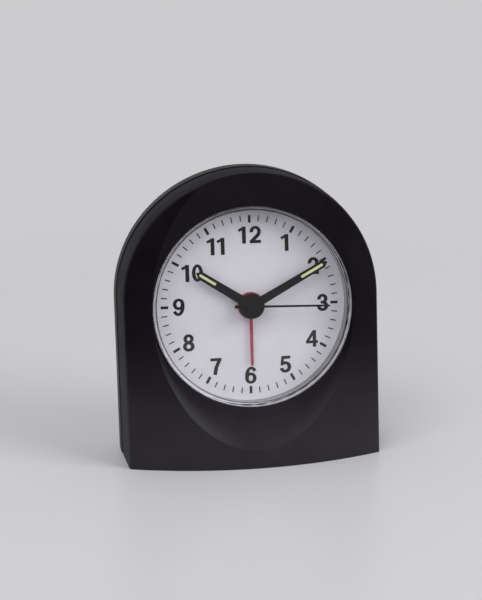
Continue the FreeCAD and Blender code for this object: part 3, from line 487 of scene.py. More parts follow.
@dataclass(frozen=True)
class ClearPlastic(Finish):
    """Polished clear plastic that lets lamps through to what is behind it."""

    colour: Triple = (0.99, 0.99, 1.0)
    refraction: float = 1.49
    shine: float = 0.08
    ripple: Pair = (90.0, 2.0)
    gloss: tuple[float, ...] = (0.3, 0.7, 0.0, 0.02)

    def shade(self, board: Board) -> NodeSocket:
        """Clear plastic to the eye, tinted transparency to shadow rays; see Finish.shade."""
        ripple = board.noise(self.place(board), *self.ripple)
        clear = board.surface(
            Base_Color=tone(self.colour), Roughness=board.spread(ripple, *self.gloss),
            IOR=self.refraction, Transmission_Weight=1.0, Specular_IOR_Level=self.shine,
        )
        through = board.add("BsdfTransparent", {"Color": tone(self.colour)}).outputs[0]
        return board.either(board.add("LightPath").outputs["Is Shadow Ray"], clear, through)


INK = (0.0025, 0.0018, 0.0030)
FINISHES: dict[str, Finish] = {
    # The case and the back carry painted light from the table, lighter towards the bottom.
    "case": Moulded(
        "satin black case", (0.0040, 0.0022, 0.0052), (0.62, 0.72), 2600.0, 0.2, 0.15, 0.25,
        polish=0.42, foot=0.9,
    ),
    "back": Moulded(
        "satin black back", (0.0052, 0.0036, 0.0066), (0.5, 0.62), 2600.0, 0.2, 0.34, foot=0.5
    ),
    "clear": ClearPlastic("clear crystal"),
    "dial": Painted("white dial", (0.695, 0.68, 0.725), (0.55, 0.7), 2500.0, 0.04, 0.03),
    "hands": Painted("black hand paint", INK, (0.45, 0.55), 1500.0, 0.05, 0.2, 0.05),
    "second": Painted("black second hand", INK, (0.45, 0.55), 1500.0, 0.05, 0.2, 0.05),
    "alarm": Painted("red alarm hand", (0.36, 0.020, 0.060), (0.3, 0.42), 1500.0, 0.05, 0.15),
    "lume": Painted("luminous paste", (0.68, 0.70, 0.36), (0.6, 0.8), 4000.0, 0.3, 0.12),
    "movement": Moulded(
        "movement black", (0.012, 0.012, 0.013), (0.3, 0.45), 1500.0, 0.08, wear=0.2
    ),
    "wheels": Moulded(
        "ivory acetal", (0.78, 0.76, 0.70), (0.35, 0.5), 1200.0, 0.05, wear=0.1, cloud=1.06
    ),
    "magnet": Metal("sintered magnet", (0.12, 0.12, 0.13), (0.35, 0.55), 2500.0, (1, 1, 1), 0.3),
    "iron": Metal("stamped soft iron", (0.52, 0.51, 0.5), (0.3, 0.5), 900.0, (0.06, 1, 1), 0.25),
    "copper": Metal(
        "enamelled copper wire", (0.62, 0.24, 0.1), (0.25, 0.4), 5000.0, (1, 0.02, 0.02), 0.35
    ),
    "board": Painted("phenolic board", (0.22, 0.13, 0.05), (0.4, 0.55), 900.0, 0.1, 0.25),
    "resin": Painted("black resin", (0.008, 0.008, 0.008), (0.12, 0.3), 600.0, 0.3, 0.2),
    "can": Metal("nickel plated can", (0.72, 0.71, 0.69), (0.12, 0.25), 900.0, (0.05, 1, 1), 0.12),
    "brass": Metal("rolled brass", (0.72, 0.5, 0.2), (0.2, 0.4), 900.0, (0.05, 1, 1), 0.25),
    "cell": Painted("plain cell sleeve", (0.02, 0.05, 0.11), (0.25, 0.35), 900.0, 0.05, 0.2),
    "contact": Metal(
        "nickel plated strip", (0.66, 0.65, 0.62), (0.15, 0.35), 900.0, (1, 0.05, 1), 0.15
    ),
    "screw": Metal("zinc plated steel", (0.62, 0.62, 0.6), (0.2, 0.4), 1200.0, (1, 1, 1), 0.2),
}


# Meshes and pieces


def verts_of(geometry: Iterable[object]) -> list[BMVert]:
    """Picks the vertices out of what a bmesh operator returns."""
    return [item for item in geometry if isinstance(item, BMVert)]


def raise_coat(shape: BMesh, height: float) -> None:
    """Gives a mesh of flat faces that look up the thickness of a coat."""
    lifted = bmesh.ops.extrude_face_region(shape, geom=shape.faces[:], use_keep_orig=True)
    bmesh.ops.translate(shape, vec=(0, 0, height), verts=verts_of(lifted["geom"]))


def section_mesh(corners: Iterable[Pair]) -> BMesh:
    """Draws a section as a chain of edges.

    Args:
        corners: radius and level of each corner.

    Returns:
        The mesh that holds it.
    """
    shape = bmesh.new()
    verts = [shape.verts.new((radius, 0, level)) for radius, level in corners]
    for pair in zip(verts, verts[1:]):
        shape.edges.new(pair)
    return shape


def spin_round(shape: BMesh, steps: int) -> None:
    """Spins all that a mesh holds a full turn round the z axis and closes the poles."""
    bmesh.ops.spin(
        shape, geom=shape.verts[:] + shape.edges[:], cent=(0, 0, 0), axis=(0, 0, 1),
        angle=FULL_TURN, steps=steps, use_merge=True,
    )
    bmesh.ops.remove_doubles(shape, verts=shape.verts[:], dist=WELD)


def merged_copy(node: Object) -> BMesh:
    """Copies a CAD node's mesh, joins its loose triangles and clears lines in flat faces.

    Args:
        node: the CAD node.

    Returns:
        The merged mesh in the row frame.
    """
    shape = bmesh.new()
    shape.from_mesh(node.data)
    bmesh.ops.remove_doubles(shape, verts=shape.verts[:], dist=MERGE)
    bmesh.ops.dissolve_limit(
        shape, angle_limit=FLAT, use_dissolve_boundaries=False, verts=shape.verts[:],
        edges=shape.edges[:],
    )
    return shape


def show(name: str, shape: BMesh, material: Material) -> Object:
    """Turns a finished mesh into an object of the scene.

    Args:
        name: the object's name.
        shape: its mesh in the row frame, which is freed.
        material: what it wears.

    Returns:
        The new object.
    """
    mesh = bpy.data.meshes.new(name)
    shape.to_mesh(mesh)
    shape.free()
    mesh.materials.append(material)
    made = bpy.data.objects.new(name, mesh)
    bpy.context.scene.collection.objects.link(made)
    return made


def piece(
    name: str, shape: BMesh, slot: str, body: Body, smooth: float = 30.0, skin: str = ""
) -> Object:
    """Turns a finished mesh into a dressed piece that rides on a body.

    Args:
        name: the piece's name.
        shape: its mesh in the row frame, which is freed.
        slot: the record's material slot that it belongs to.
        body: the body that it rides on.
        smooth: largest angle in degrees between faces that shade as one.
        skin: the finish that it wears, where that isn't the slot's own.

    Returns:
        The new object.
    """
    made = show(name, shape, FINISHES[skin or slot].material())
    for face in made.data.polygons:
        face.use_smooth = True
    made.data.set_sharp_from_angle(angle=math.radians(smooth))
    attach(made, body.value)
    LOG.info("%s: %d faces on %s", name, len(made.data.polygons), body.value)
    return made


def even_faces(made: Object, mode: str = "FACE_AREA") -> None:
    """Weights a piece's normals so that its broad faces shade evenly.

    Args:
        made: the piece.
        mode: what weighs a face, by the name that the modifier gives it.
    """
    even = made.modifiers.new("even faces", "WEIGHTED_NORMAL")
    even.mode = mode
    even.keep_sharp = True


def soften(made: Object, width: float, segments: int = 2, above: float = 30.0) -> None:
    """Rounds the sharp edges of a piece and keeps its broad faces even.

    Args:
        made: the piece.
        width: width of the rounding in millimetres.
        segments: faces across it.
        above: least angle in degrees between the faces of a sharp edge.
    """
    bevel = made.modifiers.new("rounded edges", "BEVEL")
    bevel.width = width * MM
    bevel.segments = segments
    bevel.limit_method = "ANGLE"
    bevel.angle_limit = math.radians(above)
    bevel.use_clamp_overlap = True
    even_faces(made)


# Print on the dial


LEAST_STEPS = 8
STEPS_PER_RADIAN = 9


@dataclass(frozen=True)
class Bar:
    """Straight stroke of a numeral, in numeral heights."""

    start: Pair
    end: Pair
    width: float

    def draw(self, shape: BMesh, place: Matrix) -> None:
        """Adds the stroke as a flat face.

        Args:
            shape: the mesh that takes it.
            place: matrix from numeral heights to the mesh.
        """
        first, last = Vector((*self.start, 0)), Vector((*self.end, 0))
        run = last - first
        place = place @ Matrix.Translation((first + last) / 2)
        place = place @ about_z(math.atan2(run.y, run.x))
        place = place @ Matrix.Diagonal((run.length, self.width, 1, 1))
        bmesh.ops.create_grid(shape, x_segments=1, y_segments=1, size=0.5, matrix=place)


@dataclass(frozen=True)
class Bow:
    """Curved stroke of a numeral between two ellipses, in numeral heights."""

    centre: Pair
    outer: Pair
    inner: Pair
    sweep: Pair = (0.0, 360.0)

    def draw(self, shape: BMesh, place: Matrix) -> None:
        """Spins a short edge into a band and gives each rim its own ellipse.

        Args:
            shape: the mesh that takes it.
            place: matrix from numeral heights to the mesh.
        """
        start, end = (math.radians(angle) for angle in self.sweep)
        whole = abs(end - start) > FULL_TURN - 0.01
        ends = [shape.verts.new((1, 0, level)) for level in (1, 0)]
        edge = shape.edges.new(ends)
        bmesh.ops.rotate(
            shape, verts=ends, cent=(0, 0, 0), matrix=Matrix.Rotation(start, 3, "Z")
        )
        known = set(shape.verts) - set(ends)
        steps = max(LEAST_STEPS, int(abs(end - start) * STEPS_PER_RADIAN))
        bmesh.ops.spin(
            shape, geom=[*ends, edge], cent=(0, 0, 0), axis=(0, 0, 1), angle=end - start,
            steps=steps, use_merge=whole,
        )
        band = [vert for vert in shape.verts if vert not in known]
        rims = [[vert for vert in band if round(vert.co.z) == level] for level in (1, 0)]
        for rim, (wide, tall) in zip(rims, (self.outer, self.inner)):
            bmesh.ops.scale(shape, vec=(wide, tall, 0), verts=rim)
        centred = place @ Matrix.Translation((*self.centre, 0))
        bmesh.ops.transform(shape, matrix=centred, verts=band)


STROKES: dict[str, tuple[Bar | Bow, ...]] = {
    "0": (Bow((0.35, 0.5), (0.33, 0.51), (0.11, 0.335)),),
    "1": (Bar((0.43, 0.0), (0.43, 1.0), 0.23), Bar((0.10, 0.765), (0.42, 0.915), 0.16)),
    "2": (
        Bow((0.355, 0.68), (0.335, 0.335), (0.115, 0.155), (188, -42)),
        Bar((0.56, 0.53), (0.13, 0.11), 0.215),
        Bar((0.01, 0.09), (0.69, 0.09), 0.18),
    ),
    "3": (
        Bow((0.345, 0.725), (0.31, 0.29), (0.10, 0.125), (192, -90)),
        Bow((0.345, 0.295), (0.345, 0.31), (0.12, 0.13), (90, -192)),
        Bar((0.23, 0.515), (0.38, 0.515), 0.165),
    ),
    "4": (
        Bar((0.50, 0.0), (0.50, 1.0), 0.215),
        Bar((-0.02, 0.30), (0.71, 0.30), 0.17),
        Bar((0.05, 0.30), (0.46, 0.93), 0.17),
    ),
    "5": (
        Bar((0.13, 0.91), (0.65, 0.91), 0.18),
        Bar((0.19, 0.96), (0.13, 0.43), 0.175),
        Bow((0.335, 0.33), (0.355, 0.345), (0.13, 0.165), (128, -168)),
    ),
    "6": (
        Bow((0.355, 0.325), (0.345, 0.34), (0.125, 0.175)),
        Bow((0.395, 0.45), (0.385, 0.565), (0.16, 0.395), (205, 36)),
    ),
    "7": (
        Bar((0.02, 0.91), (0.68, 0.91), 0.18),
        Bar((0.58, 0.90), (0.36, 0.44), 0.215),
        Bar((0.375, 0.49), (0.27, 0.0), 0.225),
    ),
    "8": (
        Bow((0.35, 0.735), (0.305, 0.28), (0.095, 0.11)),
        Bow((0.35, 0.285), (0.345, 0.30), (0.12, 0.125)),
    ),
}
NUMERAL_WIDTH = 0.70
NEXT_DIGIT = {"0": 0.68, "1": 0.60, "2": 0.755}


@dataclass
class DialPrint:
    """Minute marks and hour numerals in black ink on the white dial."""

    frame: DialFrame
    turn: float = math.radians(-1.0)
    outer: float = 31.0
    hour_mark: Pair = (2.6, 0.95)
    minute_mark: Pair = (2.05, 0.40)
    height: float = 5.85
    coat: float = 0.02
    rings: tuple[float, ...] = (
        24.2, 24.5, 25.8, 25.6, 25.1, 24.5, 24.6, 24.3, 24.9, 24.8, 23.1, 23.6,
    )

    def lay(self, name: str, flat: BMesh) -> None:
        """Gives flat print the thickness of its coat and lays it on the dial.

        Args:
            name: the piece's name.
            flat: faces drawn in millimetres on the plane of the dial.
        """
        down = [face for face in flat.faces if face.normal.z < 0]
        bmesh.ops.reverse_faces(flat, faces=down)
        raise_coat(flat, self.coat)
        self.frame.lay(flat)
        piece(name, flat, "hands", Body.CASE)

    def marks(self) -> None:
        """Draws the sixty minute marks."""
        flat = bmesh.new()
        for minute in range(60):
            length, width = self.minute_mark if minute % 5 else self.hour_mark
            turn = about_z(self.turn - math.radians(6 * minute))
            Bar((0, self.outer - length), (0, self.outer), width).draw(flat, turn)
        self.lay("dial_minute_marks", flat)

    def numerals(self) -> None:
        """Draws the upright numerals at their places round the dial."""
        flat = bmesh.new()
        size = Matrix.Scale(self.height, 4)
        for hour, ring in zip((12, *range(1, 12)), self.rings):
            angle = math.radians(30 * hour) - self.turn
            middle = Matrix.Translation((ring * math.sin(angle), ring * math.cos(angle), 0))
            drawn = set(flat.verts)
            across = 0.0
            for index, digit in enumerate(str(hour)):
                across += NEXT_DIGIT[digit] if index else 0.0
                self.digit(flat, digit, size @ Matrix.Translation((across, -0.5, 0)))
            ink = [vert for vert in flat.verts if vert not in drawn]
            reach = [vert.co.x for vert in ink]
            centred = middle @ Matrix.Translation((-(min(reach) + max(reach)) / 2, 0, 0))
            bmesh.ops.transform(flat, matrix=centred, verts=ink)
        self.lay("dial_numerals", flat)

    @staticmethod
    def digit(flat: BMesh, digit: str, place: Matrix) -> None:
        """Draws one digit; a nine is a six turned half round.

        Args:
            flat: the mesh that takes it.
            digit: the character.
            place: matrix from numeral heights to the mesh.
        """
        if digit == "9":
            about = Matrix.Translation((NUMERAL_WIDTH / 2, 0.5, 0))
            place = place @ about @ about_z(math.pi) @ about.inverted()
            digit = "6"
        for stroke in STROKES[digit]:
            stroke.draw(flat, place)

    def build(self) -> None:
        """Prints the dial."""
        self.marks()
        self.numerals()


# Case


@dataclass
class Case:
    """Front case and rear cover, merged from their CAD nodes, with evenly shaded edges."""

    nodes: dict[str, Object]
    frame: DialFrame
    smooth: float = 14.0
    join_angles: Pair = (10.0, 80.0)
    bow_crown: float = 12.0
    bow_radius: float = (44.0**2 + 7.0**2) / 14.0
    arch: float = 2.9
    widest: Pair = (45.6, -17.0)
    barrel: float = 151.0
    wall_skin: float = 0.6
    parting: Pair = (14.0, 14.5)
    front_lip: float = 0.4
    rear_lip: float = 0.12
    lip_segments: int = 3
    tuck: float = 0.36
    near: float = 0.12
    dish_ring: Pair = (34.5, 7.5)
    dish_slope: float = 0.317
    dish_longest: float = 20.0
    dish_halvings: int = 24
    dish_sag: float = 0.08
    dish_cuts: int = 9
    dish_lip: float = 0.15

    def bow_level(self, across: float) -> float:
        """Level of the bowed front at a distance from its middle line, in millimetres."""
        return self.bow_crown - self.bow_radius + math.sqrt(self.bow_radius**2 - across**2)

    def cone_level(self, radius: float) -> float:
        """Level of the dish's cone at a radius, in millimetres."""
        return self.dish_ring[1] + self.dish_slope * (radius - self.dish_ring[0])

    def dish_reach(self, side: float) -> float:
        """Finds where the dish runs out over the bow.

        Args:
            side: sine of the angle from the vertical, to either side.

        Returns:
            The dish's outer radius in that direction.
        """
        inner = self.dish_ring[0]
        outer = inner + self.dish_longest
        for _ in range(self.dish_halvings):
            middle = (inner + outer) / 2
            below = self.cone_level(middle) < self.bow_level(middle * side)
            inner, outer = (middle, outer) if below else (inner, middle)
        return inner

    def in_dish(self, spot: Vector) -> bool:
        """Tells whether a point in the dial's frame lies on the cone of the dish."""
        on_cone = abs(spot.z - self.cone_level(spot.xy.length)) < self.near
        return on_cone and spot.xy.length > self.dish_ring[0] - self.near

    def at_ring(self, spot: Vector) -> bool:
        """Tells whether a point in the dial's frame lies on the dish's inner ring."""
        return abs(spot.xy.length - self.dish_ring[0]) < self.near

    def hollow_dish(self, shape: BMesh, inward: Matrix) -> None:
        """Sinks the dish below the crystal into a bowl that is steep at its edge.

        Args:
            shape: the merged front case.
            inward: matrix from the row frame to the dial's frame.
        """
        outward = inward.inverted()
        ring, ring_level = self.dish_ring
        cone = {vert for vert in shape.verts if self.in_dish(inward @ vert.co)}
        faces = [face for face in shape.faces if cone.issuperset(face.verts)]
        bmesh.ops.delete(shape, geom=faces, context="FACES")
        open_edges = [edge for edge in shape.edges if edge.is_boundary]
        inner = [
            edge for edge in open_edges
            if all(self.at_ring(inward @ vert.co) for vert in edge.verts)
        ]
        outer = list(set(open_edges) - set(inner))
        made = bmesh.ops.extrude_edge_only(shape, edges=outer)["geom"]
        drawn_in = set(verts_of(made))
        spokes = []
        for vert in drawn_in:
            spot = inward @ vert.co
            turn = Vector((spot.x, spot.y, 0.0)).normalized()
            vert.co = outward @ (turn * (ring + self.dish_lip) + Vector((0, 0, ring_level)))
            spokes += [edge for edge in vert.link_edges if edge.other_vert(vert) not in drawn_in]
        hem = [
            item for item in made
            if isinstance(item, BMEdge) and drawn_in.issuperset(item.verts)
        ]
        bmesh.ops.bridge_loops(shape, edges=hem + inner)
        cut = bmesh.ops.subdivide_edges(shape, edges=spokes, cuts=self.dish_cuts)
        for vert in set(verts_of(cut["geom_inner"])):
            spot = inward @ vert.co
            radius = spot.xy.length
            length = self.dish_reach(abs(spot.x) / radius) - ring
            share = min(1.0, max(0.0, (radius - ring) / length)) if length > self.near else 0.0
            low = min(1.0, max(0.0, 0.5 - spot.y / radius))
            sag = 4 * self.dish_sag * low * length * share * (1 - share)
            spot.z = self.cone_level(radius) - sag
            vert.co = outward @ spot
        bmesh.ops.recalc_face_normals(shape, faces=shape.faces[:])

    def on_wall(self, spot: Vector) -> bool:
        """Compares a point's distance from the arch's middle with the barrelled wall's.

        Args:
            spot: the point in the dial's frame.

        Returns:
            Whether it lies on the wall's outer skin.
        """
        across = math.hypot(spot.x, max(0.0, spot.y - self.arch))
        half, level = self.widest
        half -= self.barrel - math.sqrt(self.barrel**2 - (spot.z - level) ** 2)
        return across > half - self.wall_skin

    def at_parting(self, spot: Vector) -> bool:
        """Tells whether a point in the dial's frame lies on the outer rim of either half."""
        depth = self.bow_level(spot.x) - spot.z
        return min(abs(depth - line) for line in self.parting) < self.near and self.on_wall(spot)

    def tuck_wall(self, shape: BMesh, inward: Matrix) -> None:
        """Draws the front case's wall in, so that the rear cover's rim stands proud of it.

        Args:
            shape: the merged front case.
            inward: matrix from the row frame to the dial's frame.
        """
        outward = inward.inverted()
        for vert in shape.verts:
            spot = inward @ vert.co
            share = (self.bow_level(spot.x) - spot.z) / self.parting[0]
            if share > 0 and self.on_wall(spot):
                away = Vector((spot.x, max(0.0, spot.y - self.arch), 0.0)).normalized()
                vert.co = outward @ (spot - away * self.tuck * share**2)

    def shell(self, node: str, lip: float, skin: str) -> None:
        """Merges one half of the case and rounds its rim; faces at less than the smooth angle shade
        as one.

        Args:
            node: the CAD node that the piece replaces.
            lip: rounding of its rim at the parting line, in millimetres.
            skin: its finish.
        """
        shape = merged_copy(self.nodes[node])
        face_angle, shape_angle = (math.radians(angle) for angle in self.join_angles)
        bmesh.ops.join_triangles(
            shape, faces=shape.faces[:], angle_face_threshold=face_angle,
            angle_shape_threshold=shape_angle,
        )
        inward = self.frame.matrix().inverted()
        if node == "front_case":
            self.hollow_dish(shape, inward)
            self.tuck_wall(shape, inward)
        rim = {vert for vert in shape.verts if self.at_parting(inward @ vert.co)}
        edges = [edge for edge in shape.edges if rim.issuperset(edge.verts)]
        bmesh.ops.bevel(
            shape, geom=edges, offset=lip * MM, offset_type="OFFSET", profile=0.5,
            segments=self.lip_segments, affect="EDGES", clamp_overlap=True, material=-1,
        )
        made = piece(f"{node}_moulded", shape, "case", Body.CASE, self.smooth, skin)
        even_faces(made, "FACE_AREA_WITH_ANGLE")
        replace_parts(made, node)

    def build(self) -> None:
        """Makes both halves."""
        self.shell("front_case", self.front_lip, "case")
        self.shell("rear_cover", self.rear_lip, "back")


@dataclass(frozen=True)
class Moulding:
    """A small piece whose sharp CAD edges are eased: node, slot, body, rounding and finish."""

    node: str
    body: Body
    rounding: float
    slot: str = "case"
    skin: str = "back"
    segments: int = 2

    def build(self, nodes: dict[str, Object]) -> None:
        """Merges the node's mesh into a piece with rounded edges.

        Args:
            nodes: the CAD nodes by name.
        """
        shape = merged_copy(nodes[self.node])
        made = piece(f"{self.node}_eased", shape, self.slot, self.body, skin=self.skin)
        soften(made, self.rounding, self.segments)
        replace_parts(made, self.node)


SMALL_PIECES = (
    Moulding("time_set_knob", Body.TIME_KNOB, 0.18),
    Moulding("alarm_set_knob", Body.ALARM_KNOB, 0.18),
    Moulding("snooze_button", Body.SNOOZE, 0.35, segments=3),
    Moulding("alarm_switch", Body.SLIDER, 0.15),
    Moulding("battery_door", Body.DOOR, 0.15),
    Moulding("movement_screws", Body.CASE, 0.2, "screw", ""),
)


# Hands


@dataclass(frozen=True)
class Blade:
    """A stamped hand.

    Its node, finish, body, angle from twelve, edge rounding, how much its blade and its hub
    within a radius are broadened, and the ends and level of its luminous strip.
    """

    node: str
    slot: str
    body: Body
    angle: float
    edge: float
    blade: float = 1.0
    hub: Pair = (0.0, 1.0)
    paste: Triple | None = None


@dataclass
class Hands:
    """Soft-edged hands with luminous strips that lie flush in the hour and minute hands."""

    frame: DialFrame
    nodes: dict[str, Object]
    blades: tuple[Blade, ...] = (
        Blade("hour_hand", "hands", Body.HOURS, 303.0, 0.08, paste=(14.4, 21.0, 2.6)),
        Blade("minute_hand", "hands", Body.MINUTES, 62.0, 0.08, paste=(19.7, 28.4, 4.0)),
        Blade("second_hand", "second", Body.SECONDS, 92.0, 0.04, 1.5, (1.6, 1.0)),
        Blade("alarm_hand", "alarm", Body.ALARM, 180.0, 0.06, 1.0, (4.6, 1.08)),
    )
    half: float = 0.45
    thick: float = 0.12
    round_steps: int = 24

    def strip(self, blade: Blade) -> None:
        """Lays one flat strip of paste with rounded ends in its hand.

        Args:
            blade: the hand.
        """
        low, high, top = blade.paste
        shape = bmesh.new()
        outline = bmesh.ops.create_circle(
            shape, cap_ends=True, segments=self.round_steps, radius=self.half,
            matrix=about_z(math.pi / self.round_steps),
        )["verts"]
        for vert in outline:
            vert.co.y += high - self.half if vert.co.y > 0 else low + self.half
            vert.co.z = top - self.thick
        raise_coat(shape, self.thick)
        self.frame.lay(shape, about_z(-math.radians(blade.angle)))
        name = f"{blade.node}_lume"
        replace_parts(piece(f"{name}_paste", shape, "lume", blade.body), name)

    def hand(self, blade: Blade) -> None:
        """Merges one hand, broadens it where asked and eases its edges.

        Args:
            blade: what the hand is like.
        """
        shape = merged_copy(self.nodes[blade.node])
        turn = about_z(math.radians(blade.angle))
        upright = turn @ self.frame.matrix().inverted()
        bmesh.ops.transform(shape, matrix=upright, verts=shape.verts[:])
        reach, wider = blade.hub
        inside = [vert for vert in shape.verts if vert.co.xy.length < reach]
        beyond = [vert for vert in shape.verts if vert.co.xy.length >= reach]
        bmesh.ops.scale(shape, vec=(wider, wider, 1), verts=inside)
        bmesh.ops.scale(shape, vec=(blade.blade, 1, 1), verts=beyond)
        bmesh.ops.transform(shape, matrix=upright.inverted(), verts=shape.verts[:])
        made = piece(f"{blade.node}_stamped", shape, blade.slot, blade.body)
        soften(made, blade.edge)
        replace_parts(made, blade.node)

    def build(self) -> None:
        """Makes the four hands and lays both strips."""
        for blade in self.blades:
            self.hand(blade)
        for blade in self.blades:
            if blade.paste:
                self.strip(blade)


# Screws, cell and crystal


@dataclass
class Screws:
    """Four pan-head case screws with cross recesses, seen from the back."""

    frame: DialFrame
    spots: tuple[Pair, ...] = ((16.6, 33.6), (-16.6, 33.6), (35.5, -38.0), (-35.5, -38.0))
    top: float = -18.6
    profile: tuple[Pair, ...] = (
        (1.25, 0.0), (1.65, -0.08), (2.0, -0.27), (2.22, -0.58), (2.3, -0.95), (2.3, -1.6),
        (1.2, -1.6), (1.2, -10.6), (0.9, -11.2), (0.0, -11.9),
    )
    segments: int = 32
    arm: Pair = (0.95, 0.24)
    recess: Pair = (1.0, 0.45)
    first_turn: float = 0.5
    next_turn: float = 0.9

    def head(self) -> BMesh:
        """Spins a screw and sinks the tapered cross into its head.

        Returns:
            One screw, its head's top at the origin, looking along z.
        """
        shape = section_mesh(self.profile)
        spin_round(shape, self.segments)
        rim = [edge for edge in shape.edges if edge.is_boundary]
        grid = bmesh.ops.create_grid(shape, x_segments=3, y_segments=3, size=1.0)["verts"]
        faces = {face for vert in grid for face in vert.link_faces}
        middles = {face: face.calc_center_median() for face in faces}
        corners = [face for face, spot in middles.items() if min(abs(spot.x), abs(spot.y)) > 0.5]
        bmesh.ops.delete(shape, geom=corners, context="FACES")
        cross = [face for face in faces if face.is_valid]
        long, half = self.arm
        for vert in {vert for face in cross for vert in face.verts}:
            for axis in (0, 1):
                reach = long if abs(vert.co[axis]) > 0.5 else half
                vert.co[axis] = math.copysign(reach, vert.co[axis])
        outline = [edge for face in cross for edge in face.edges if edge.is_boundary]
        depth, taper = self.recess
        low = verts_of(bmesh.ops.extrude_face_region(shape, geom=cross)["geom"])
        kept = [face for face in cross if face.is_valid]
        bmesh.ops.delete(shape, geom=kept, context="FACES_ONLY")
        bmesh.ops.translate(shape, vec=(0, 0, -depth), verts=low)
        bmesh.ops.scale(shape, vec=(taper, taper, 1), verts=low)
        bmesh.ops.bridge_loops(shape, edges=rim + outline)
        bmesh.ops.recalc_face_normals(shape, faces=shape.faces[:])
        return shape

    def build(self) -> None:
        """Sets the screw into each of its wells, each turned another way."""
        shape = bmesh.new()
        one = self.head()
        loose = bpy.data.meshes.new("screw")
        one.to_mesh(loose)
        one.free()
        over = Matrix.Rotation(math.pi, 4, "X")
        for index, (across, high) in enumerate(self.spots):
            known = len(shape.verts)
            shape.from_mesh(loose)
            shape.verts.ensure_lookup_table()
            turn = over @ about_z(self.first_turn + self.next_turn * index)
            place = self.frame.matrix() @ Matrix.Translation((across, high, self.top)) @ turn
            bmesh.ops.transform(shape, matrix=place, verts=shape.verts[known:])
        bpy.data.meshes.remove(loose)
        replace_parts(piece("case_screws_cross_recessed", shape, "screw", Body.CASE), "case_screws")


@dataclass
class Cell:
    """Plain battery: a sleeve with rolled ends round a bare can with its nub."""

    frame: DialFrame
    middle: Pair = (-38.2, -11.1)
    ends: Pair = (-23.5, 27.0)
    radius: float = 7.25
    nub: Pair = (2.7, 1.3)
    nub_round: float = 0.3
    roll: float = 0.5
    sleeve: float = 0.15
    overlap: float = 0.4
    fold: float = 0.1
    segments: int = 64
    smooth: float = 50.0

    def lay(self, name: str, section: Iterable[Pair], slot: str) -> None:
        """Spins a section round the cell's own axis and lays it in the bay.

        Args:
            name: the piece's name.
            section: radius and place along the cell of each corner.
            slot: material slot.
        """
        shape = section_mesh(section)
        spin_round(shape, self.segments)
        lying = Matrix.Rotation(math.pi / 2, 4, "Y")
        self.frame.lay(shape, Matrix.Translation((0, *self.middle)) @ lying)
        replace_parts(piece(name, shape, slot, Body.CASE, self.smooth), "aa_cell")

    def build(self) -> None:
        """Makes the can with its nub, and the sleeve that wraps it."""
        left, right = self.ends
        nub, rise = self.nub
        body = right - rise
        roll, soft = self.roll, self.nub_round
        core = self.radius - self.sleeve
        can = (
            (0, left), (core - roll, left), (core, left + roll), (core, body - roll),
            (core - roll, body), (nub + soft, body), (nub, body + soft), (nub, right - soft),
            (nub - soft, right), (0, right),
        )
        self.lay("cell_can", can, "can")
        outer = self.radius
        inner = core - roll - self.overlap
        low, high = left + self.fold, body - self.fold
        wrap = (
            (inner, left), (outer - roll, left), (outer, left + roll), (outer, body - roll),
            (outer - roll, body), (inner, body), (inner, high), (core, high - roll),
            (core, low + roll), (inner, low), (inner, left),
        )
        self.lay("cell_sleeve", wrap, "cell")


@dataclass
class Crystal:
    """Clear cup with a rounded rim that stands on the dial."""

    frame: DialFrame
    radius: float = 34.4
    wall: float = 1.1
    front: float = 7.5
    window: float = 1.2
    rounding: float = 0.55
    round_steps: int = 6
    segments: int = 160
    smooth: float = 40.0

    def build(self) -> None:
        """Spins the cup's section round the dial's axis and rounds its edges."""
        inner = self.radius - self.wall
        ceiling = self.front - self.window
        shape = section_mesh((
            (0, self.front), (self.radius, self.front), (self.radius, 0), (inner, 0),
            (inner, ceiling), (0, ceiling),
        ))
        verts = shape.verts[:]
        bmesh.ops.bevel(
            shape, geom=[verts[1], verts[4]], offset=self.rounding, offset_type="OFFSET",
            segments=self.round_steps, profile=0.5, affect="VERTICES", material=-1,
        )
        spin_round(shape, self.segments)
        self.frame.lay(shape)
        cup = piece("crystal_polished", shape, "clear", Body.CASE, self.smooth)
        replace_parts(cup, "crystal")


# Studio


@dataclass(frozen=True)
class Lamp:
    """A soft square lamp: its place and side in metres, and its power in watts."""

    name: str
    spot: Triple
    size: float
    power: float


